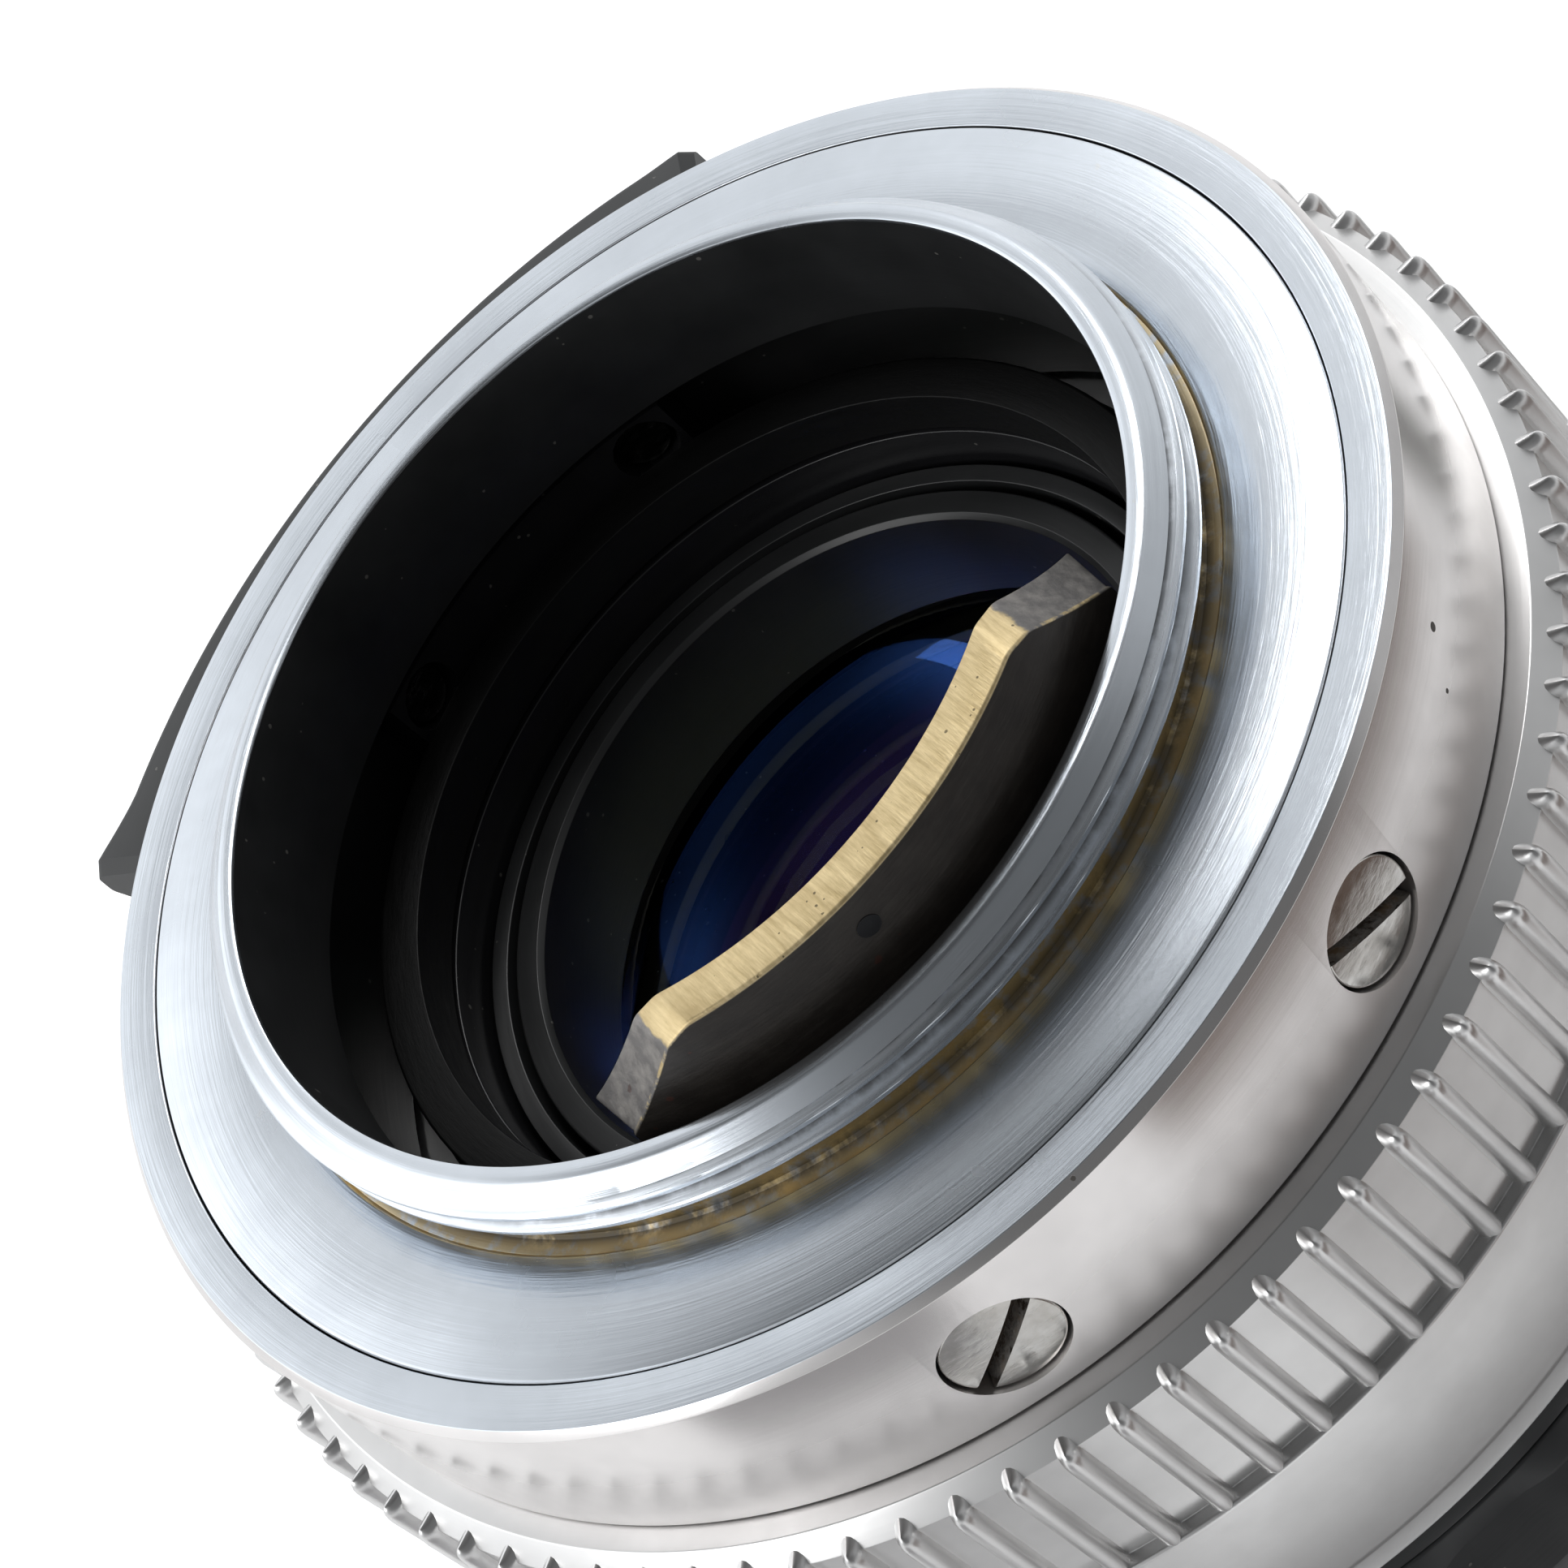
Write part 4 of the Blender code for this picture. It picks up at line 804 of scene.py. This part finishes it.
def build_focus_ring():
    """Ring with its plain band, the ribs round it and the finger lever."""
    points = [(24.2, RING_BACK), (26.75, RING_BACK), (VALLEY_R, -11.25), (VALLEY_R, RIB_FRONT),
              (RIB_R, RIB_FRONT), (RIB_R, -24.0),
              (27.55, -25.9), (26.3, -26.4), (25.3, -26.4), (25.3, -21.5), (18.2, -21.5),
              (18.2, -13.8), (24.2, -13.8)]
    radii = [0.05, 0.12, 0.06, 0.04, 0.16, 1.2, 0.9, 0.1, 0.05, 0, 0, 0, 0]
    ring = turned("focus_ring_fine", points, radii, LOOK["ring"], FINE, 6)
    place(ring, "focus_ring", "matt_chrome", "focus_ring")

    # one rib: half-round top, rounded pointed nose over the chamfer, run-out into the band
    rows, cols = [], 11
    half, top, base = 0.44, RIB_R, 27.25
    nose = ((-10.86, 0.02, 0.30), (-10.9, 0.35, 0.22), (-11.0, 0.62, 0.13), (-11.15, 0.82, 0.06),
            (-11.35, 0.95, 0.02), (-11.6, 1.0, 0.0))
    body = ((-13.5, 1.0, 0.0), (-15.5, 1.0, 0.0), (-17.0, 1.0, 0.0), (-17.45, 1.0, 0.0), (-17.7, 1.0, 0.02))
    for z, scale, low in nose + body:
        row = [(-half * scale, 26.6)]
        for k in range(cols):
            a = math.pi * k / (cols - 1)
            x = -half * scale * math.cos(a)
            r = base + (top - low - base) * math.sin(a) ** 0.75
            row.append((x, r))
        row.append((half * scale, 26.6))
        rows.append([(r * MM, x * MM, (TOP + z) * MM) for x, r in row])
    verts = [v for row in rows for v in row]
    width = len(rows[0])
    faces = grid((len(rows), width), closed_u=False)
    faces += [tuple(range(width)), tuple(range((len(rows) - 1) * width, len(rows) * width))]
    rib = mesh_object("focus_ribs", verts, faces, LOOK["ring"])
    outward(rib)
    plain_mesh(rib, rib_tree(LOOK["ring"]), {"Count": RIBS, "Phase": 0.0})
    rib.data.shade_smooth()
    rib.data.set_sharp_from_angle(angle=math.radians(50))
    place(rib, "focus_ring", "matt_chrome")

    # finger lever, a curved black plate with a raised lip and flared ends
    sections = []
    for i in range(-40, 41):
        share = i / 40
        angle = 183.5 + 33.5 * share
        flare = 0.95 * max(0, (share - 0.82) / 0.18) ** 1.5 + 0.25 * max(0, (-share - 0.88) / 0.12) ** 1.5
        droop = 0.5 * max(0, (abs(share) - 0.97) / 0.03) ** 2
        points = [(28.4, -18.0), (28.4, -10.9), (29.8, -7.65 - droop), (32.1 + flare, -7.6 - droop),
                  (32.2 + flare, -9.2), (30.2, -12.9), (30.2, -18.0)]
        rounded, _ = fillet(points, [0.1, 0.5, 0.25, 0.35, 0.5, 0.8, 0.3], 4)
        sections.append((angle, rounded))
    lever = sweep("finger_lever_fine", sections, LOOK["lever"])
    tools = []
    for tag, angle in LEVER_SCREWS:
        tool = cylinder("lever_hole_" + tag, 1.45, 27, 33, 40, LOOK["lever"])
        tool.matrix_world = radial(angle, LEVER_SCREW_Z)
        tools.append(tool)
    apply_boolean(lever, tools)
    place(lever, "focus_ring", "black_paint", "finger_lever")


build_focus_ring()


# ---------------------------------------------------------------- cam, tube and rear optics

def build_cam():
    """Ring with one tab whose rear face is flat and whose ends are milled across."""
    low, ri, ro, base = -9.0, CAM_IN, CAM_OUT, -7.0
    sections, values = [], []

    def section(inner, outer, top, worn):
        points = [(ri, low), (ro, low), (ro, top), (ri, top)]
        rounded, edge = fillet(points, [0.0, 0.0, 0.14, 0.05], 4)
        middle = (ri + ro) / 2
        sections.append([(r, outer if r > middle else inner, z) for r, z in rounded])
        values.extend(e * worn for e in edge)

    def across(side, top, worn=1.0):
        section(math.degrees(math.asin(side / ri)), math.degrees(math.asin(side / ro)), top, worn)

    def height(side):
        side = abs(side)
        if side < 7.3:
            return 2.9
        if side < 7.7:
            return 2.9 - 0.26 * ((side - 7.3) / 0.4) ** 2 * 0.4
        if side < 8.3:
            return 2.8 - (side - 7.7) * 0.52
        if side < 8.5:
            return 2.49 - (side - 8.3) * 0.8
        return 2.33 - (side - 8.5) * (2.33 + 1.0) / (CAM_TIP - 8.5)

    sides = [CAM_TIP * (i / 90 - 1) for i in range(181)]
    across(-CAM_TIP - 0.07, base, 0.0)
    across(-CAM_TIP - 0.05, -1.1)
    for side in sides:
        across(side, height(side))
    across(CAM_TIP + 0.05, -1.1)
    across(CAM_TIP + 0.07, base, 0.0)
    first = math.degrees(math.asin((CAM_TIP + 0.07) / ri)) + 0.5
    for i in range(91):
        angle = first + i * (360 - 2 * first) / 90
        section(angle, angle, base, 0.0)
    verts = []
    for points in sections:
        verts += [(r * MM * math.cos(math.radians(t)), r * MM * math.sin(math.radians(t)), (TOP + z) * MM)
                  for r, t, z in points]
    faces = grid((len(sections), len(sections[0])))
    cam = mesh_object("rangefinder_cam_fine", verts, faces, LOOK["cam"], values, 30)
    outward(cam)
    place(cam, "lens_unit", "brass", "rangefinder_cam")
    pin = cylinder("cam_pin_fine", 0.42, 15.1, 16.93, 40, LOOK["well"])
    pin.data.transform(radial(-5.3, 1.4))
    place(pin, "lens_unit", "black_paint", "cam_pin")


def keyway(name, side):
    """Cutter for the groove that a guide key's tongue slides in."""
    low, high = (16.0 * side, -2.1, TOP - 16.1), (20.0 * side, 2.1, TOP - 7.0)
    return block(name, low, high, LOOK["well"])


def build_rear_optics():
    points = [(15.2, -9.3), (TUBE_R, -9.3), (TUBE_R, -14.2), (17.9, -14.2), (17.9, -26.0), (15.2, -26.0)]
    tube = turned("lens_tube_fine", points, 0.06, LOOK["well"], MEDIUM, 3)
    apply_boolean(tube, [keyway("keyway_1", 1), keyway("keyway_2", -1)])
    place(tube, "lens_unit", "black_paint", "lens_tube")
    points = [(14.2, -11.0), (14.9, -11.0), (14.9, -26.0), (12.2, -26.0), (12.2, -25.3), (14.2, -25.3)]
    cell = turned("rear_cell_fine", points, 0.05, LOOK["bore"], MEDIUM, 3)
    place(cell, "lens_unit", "black_paint", "rear_cell")
    points = [(12.7, -11.2), (12.9, -11.0), (13.85, -11.0), (13.9, -16.0), (12.7, -16.0)]
    ring = turned("rear_retainer_fine", points, [0.05, 0.05, 0.12, 0.02, 0.1], LOOK["bore"], MEDIUM, 4)
    place(ring, "lens_unit", "black_paint", "rear_retainer")
    for name, radius, back, front, rise, fall, look, node in (
            ("rear_element_fine", 13.9, -17.5, -19.1, 1.2, -0.5, "rear_glass", "rear_element"),
            ("rear_doublet_fine", 13.9, -20.6, -25.0, 0.4, -0.8, "inner_glass", "rear_doublet"),
            ("front_doublet_fine", 13.0, -34.2, -36.7, -0.6, -0.4, "inner_glass", "front_doublet"),
            ("front_element_fine", 15.5, -37.0, -39.4, -0.5, 1.6, "rear_glass", "front_element")):
        shares = [i / 24 for i in range(25)]
        back_face = [(radius * f, back + rise * (1 - f**2)) for f in shares]
        front_face = [(radius * f, front - fall * (1 - f**2)) for f in shares[::-1]]
        obj = turn_out(name, back_face + front_face, LOOK[look], None, MEDIUM, 30)
        place(obj, "lens_unit", "coated_glass", node)
    points = [(12.9, -19.4), (13.9, -19.4), (13.9, -20.3), (12.9, -20.3)]
    spacer = turned("rear_spacer_fine", points, 0.04, LOOK["well"])
    place(spacer, "lens_unit", "black_paint", "rear_spacer")


build_cam()
build_rear_optics()

# ---------------------------------------------------------------- front half

def build_front():
    points = [(18.2, -23.2), (FRONT_R, -23.2)]
    radii = [0, 0.1]
    for i in range(2):
        start = -27.1 - 1.4 * i
        points += [(FRONT_R, start + 0.3), (24.65, start + 0.1), (24.65, start - 0.1), (FRONT_R, start - 0.3)]
        radii += [0.06, 0.03, 0.03, 0.06]
    points += [(FRONT_R, -30.2), (22.6, -30.2), (22.6, -38.5), (19.9, -38.5), (19.9, -25.6), (18.2, -25.6)]
    radii += [0.15, 0.05, 0.1, 0.05, 0.05, 0.05]
    profile, edge = fillet(points, radii, 4)
    obj = turn_out("front_barrel_fine", profile, LOOK["black"], edge, FINE)
    # the drive screw's slot
    window = [(19.0, -31.1), (23.4, -31.1), (23.4, -33.3), (19.0, -33.3)]
    sections = [(86.0 + 83.0 * i / 40, window) for i in range(41)]
    slot_cut = sweep("drive_slot", sections, LOOK["black"])
    apply_boolean(obj, [slot_cut])
    place(obj, "lens_unit", "black_paint", "front_barrel")

    sections, scallops = [], 24
    for i in range(scallops * 12):
        angle = i * 360 / (scallops * 12)
        wave = 0.5 - 0.5 * math.cos(math.radians(angle * scallops))
        dip = 0.45 * min(1, wave * 1.6)
        outer = 25.4 - dip
        points = [(22.9, -30.5), (24.8, -30.5), (outer, -31.5), (outer, -35.9), (24.8, -37.0), (22.9, -37.0)]
        rounded, _ = fillet(points, [0.05, 0.2, 0.3, 0.3, 0.2, 0.05], 3)
        sections.append((angle, rounded))
    ring = sweep("aperture_ring_fine", sections, LOOK["black"], closed=True)
    hole = cylinder("aperture_hole", 1.1, 22, 27, 40, LOOK["ring"])
    hole.matrix_world = radial(90, -32.2)
    apply_boolean(ring, [hole])
    place(ring, "aperture_ring", "black_paint", "aperture_ring")
    screw("drive_screw", "aperture_ring", 90, -32.2, 20, (0.8, 23.8, 24.4), (0.7, 17.9), (0.3, 0.3))

    points = [(13.3, -33.9), (19.6, -33.9), (19.6, -41.0), (15.8, -41.0), (15.8, -36.7), (13.3, -36.7)]
    cell = turned("front_cell_fine", points, 0.05, LOOK["bore"])
    place(cell, "lens_unit", "black_paint", "front_cell")
    points = [(14.6, -39.7), (15.5, -39.7), (15.5, -41.0), (14.6, -41.0)]
    ring = turned("front_retainer_fine", points, 0.08, LOOK["bore"])
    place(ring, "lens_unit", "black_paint", "front_retainer")
    points = [(20.2, -38.8), (24.0, -38.8), (24.0, -46.0), (21.3, -46.0)]
    radii = [0.05, 0.2, 0.35, 0.15]
    for i in range(5):
        top = -45.5 + 0.6 * i
        points += [(21.1, top), (20.8, top + 0.2), (20.8, top + 0.3), (21.1, top + 0.5)]
        radii += [0.03] * 4
    points += [(20.8, -42.3), (16.2, -42.3), (16.2, -41.3), (20.2, -41.3)]
    radii += [0.1, 0.1, 0.05, 0.05]
    bezel = turned("front_bezel_fine", points, radii, LOOK["front"], FINE, 4)
    bezel.data.materials.append(LOOK["black"])
    for poly in bezel.data.polygons:
        c = poly.center
        if math.hypot(c.x, c.y) < 0.0207 and c.z < 0.0048:
            poly.material_index = 1
    place(bezel, "lens_unit", "satin_chrome", "front_bezel")


build_front()
for node in ("iris_plate", "iris_drive_ring"):
    repaint(node, "well")
for i in range(6):
    repaint(f"iris_blade_{i + 1}", "steel")


# ---------------------------------------------------------------- studio

def area_light(name, spot, target, size, power, colour=(1, 1, 1)):
    lamp = bpy.data.lights.new(name, "AREA")
    lamp.shape = "RECTANGLE"
    lamp.size, lamp.size_y = size
    lamp.energy = power
    lamp.color = colour
    obj = bpy.data.objects.new(name, lamp)
    bpy.context.scene.collection.objects.link(obj)
    obj.location = spot
    obj.rotation_euler = (Vector(target) - Vector(spot)).to_track_quat("-Z", "Y").to_euler()
    return obj


def soft_card(name, inner, outer, start, end, tone, dense=1.0, height=0.0004, blur=0.006):
    """A cloth laid on the floor in a sector round the lens, with feathered edges."""
    rows, cols = 12, 48
    verts, soft = [], []
    for i in range(rows + 1):
        r = inner + (outer - inner) * i / rows
        for j in range(cols + 1):
            share = j / cols
            t = math.radians(start + (end - start) * share)
            verts.append((r * math.cos(t), r * math.sin(t), height))
            near = min(1, (r - inner) / blur, (outer - r) / blur)
            side = min(1, min(share, 1 - share) * math.radians(abs(end - start)) * r / blur)
            value = max(0, min(near, side))
            soft.append(value * value * (3 - 2 * value) * dense)
    faces = grid((rows + 1, cols + 1), False, False)
    mat, n, shader, spot = new_material(name, tone, 0.9, 0.0)
    weave = n.noise(spot, 400.0, 3.0)
    n.put(shader.inputs["Base Color"], n.mix(weave, (*tone, 1), (*[c * 0.8 for c in tone], 1)))
    fade = n.add("ShaderNodeAttribute", attribute_name="edge").outputs["Fac"]
    n.put(shader.inputs["Alpha"], fade)
    card = mesh_object(name, verts, faces, mat, soft)
    return card


def lobe(n, direction, aim, wide, narrow):
    """1 inside the narrow angle round aim, 0 outside the wide one."""
    aim = Vector(aim).normalized()
    along = n.add("ShaderNodeVectorMath", {0: direction, 1: tuple(aim)}, operation="DOT_PRODUCT")
    dot = along.outputs["Value"]
    return n.add("ShaderNodeMapRange", {"Value": dot, "From Min": math.cos(math.radians(wide)),
                                        "From Max": math.cos(math.radians(narrow))},
                 clamp=True, interpolation_type="SMOOTHSTEP").outputs["Result"]


GLINT = (-0.46, 0.20, 0.87)     # small bright window high on the left, mirrored in the glass


def studio():
    bpy.ops.mesh.primitive_plane_add(size=3.0, location=(0, 0, -0.0001))
    floor = bpy.context.object
    floor.name = "floor"
    mat, n, shader, spot = new_material("pale_floor", (0.92, 0.92, 0.92), 0.7, 0.0)
    paper = n.noise(spot, 900.0, 3.0)
    tone = n.mix(n.ramp(paper, 0.3, 0.7), (0.92, 0.92, 0.925, 1), (0.94, 0.94, 0.94, 1))
    n.put(shader.inputs["Base Color"], tone)
    shader.inputs["Emission Color"].default_value = (1, 1, 1, 1)
    seen = n.add("ShaderNodeLightPath").outputs["Is Camera Ray"]
    n.put(shader.inputs["Emission Strength"], n.mix_value(seen, 0.22, 0.55))
    floor.data.materials.append(mat)

    soft_card("grey_cloth", 0.058, 0.150, -6, 84, (0.175, 0.115, 0.09), 0.95, 0.0006, 0.012)
    soft_card("dark_cloth", 0.046, 0.120, 86, 104, (0.10, 0.10, 0.085), 0.75, 0.0010, 0.009)
    soft_card("foot_cloth", 0.027, 0.049, -75, 78, (0.16, 0.15, 0.15), 0.9, 0.0014, 0.007)
    soft_card("side_cloth", 0.055, 0.150, -72, -30, (0.42, 0.41, 0.42), 0.85, 0.0008, 0.009)

    world = bpy.data.worlds.new("studio")
    bpy.context.scene.world = world
    world.use_nodes = True
    n = Nodes(world.node_tree)
    back = world.node_tree.nodes["Background"]
    way = n.add("ShaderNodeTexCoord").outputs["Generated"]
    bright = n.math("MULTIPLY", lobe(n, way, (-0.80, 0.35, 0.45), 62, 15), 0.45)
    left = n.math("MULTIPLY", lobe(n, way, (-0.3, -0.9, 0.45), 50, 15), 0.60)
    shade = n.math("MULTIPLY", lobe(n, way, (0.75, 0.1, 0.65), 52, 26), 0.70)
    right = n.math("MULTIPLY", lobe(n, way, (-0.30, 0.45, 0.85), 26, 8), 0.75)
    side = n.math("MULTIPLY", lobe(n, way, (-0.66, -0.58, 0.48), 36, 10), 0.85)
    level = n.math("ADD", n.math("ADD", n.math("ADD", 0.50, bright), left), side)
    level = n.math("MULTIPLY", level, n.math("SUBTRACT", 1.0, shade))
    level = n.math("MULTIPLY", level, n.math("SUBTRACT", 1.0, right))
    over = n.math("MULTIPLY", lobe(n, way, (-0.15, -0.05, 0.98), 44, 18), 0.85)
    level = n.math("MULTIPLY", level, n.math("SUBTRACT", 1.0, over))
    glint = n.math("MULTIPLY", lobe(n, way, GLINT, 6.5, 4), 3.4)
    level = n.math("ADD", level, glint)
    n.put(back.inputs["Strength"], level)
    back.inputs["Color"].default_value = (0.97, 0.985, 1.0, 1)

    area_light("window", (-0.30, 0.30, 0.55), (0, 0, 0.03), (0.30, 0.30), 1.2)
    area_light("fill", (0.05, -0.45, 0.35), (0, 0, 0.03), (0.25, 0.25), 0.5)


def camera():
    data = bpy.data.cameras.new("camera")
    obj = bpy.data.objects.new("camera", data)
    bpy.context.scene.collection.objects.link(obj)
    data.sensor_width = 36.0
    data.lens = 111.8
    data.clip_start = 0.01
    tilt, distance = math.radians(49.35), 161.2
    eye = Vector((distance * math.sin(tilt), 0, distance * math.cos(tilt)))
    rows = Matrix(((0.5120206, 0.654783, -0.5559623), (-0.443563, 0.7558169, 0.4816562),
                   (0.7355860, -0.0000136, 0.6774313)))
    matrix = rows.transposed().to_4x4()
    matrix.translation = (eye + Vector((0, 0, TOP))) * MM
    obj.matrix_world = matrix
    bpy.context.scene.camera = obj


studio()
camera()
bpy.context.scene.view_settings.view_transform = "Standard"
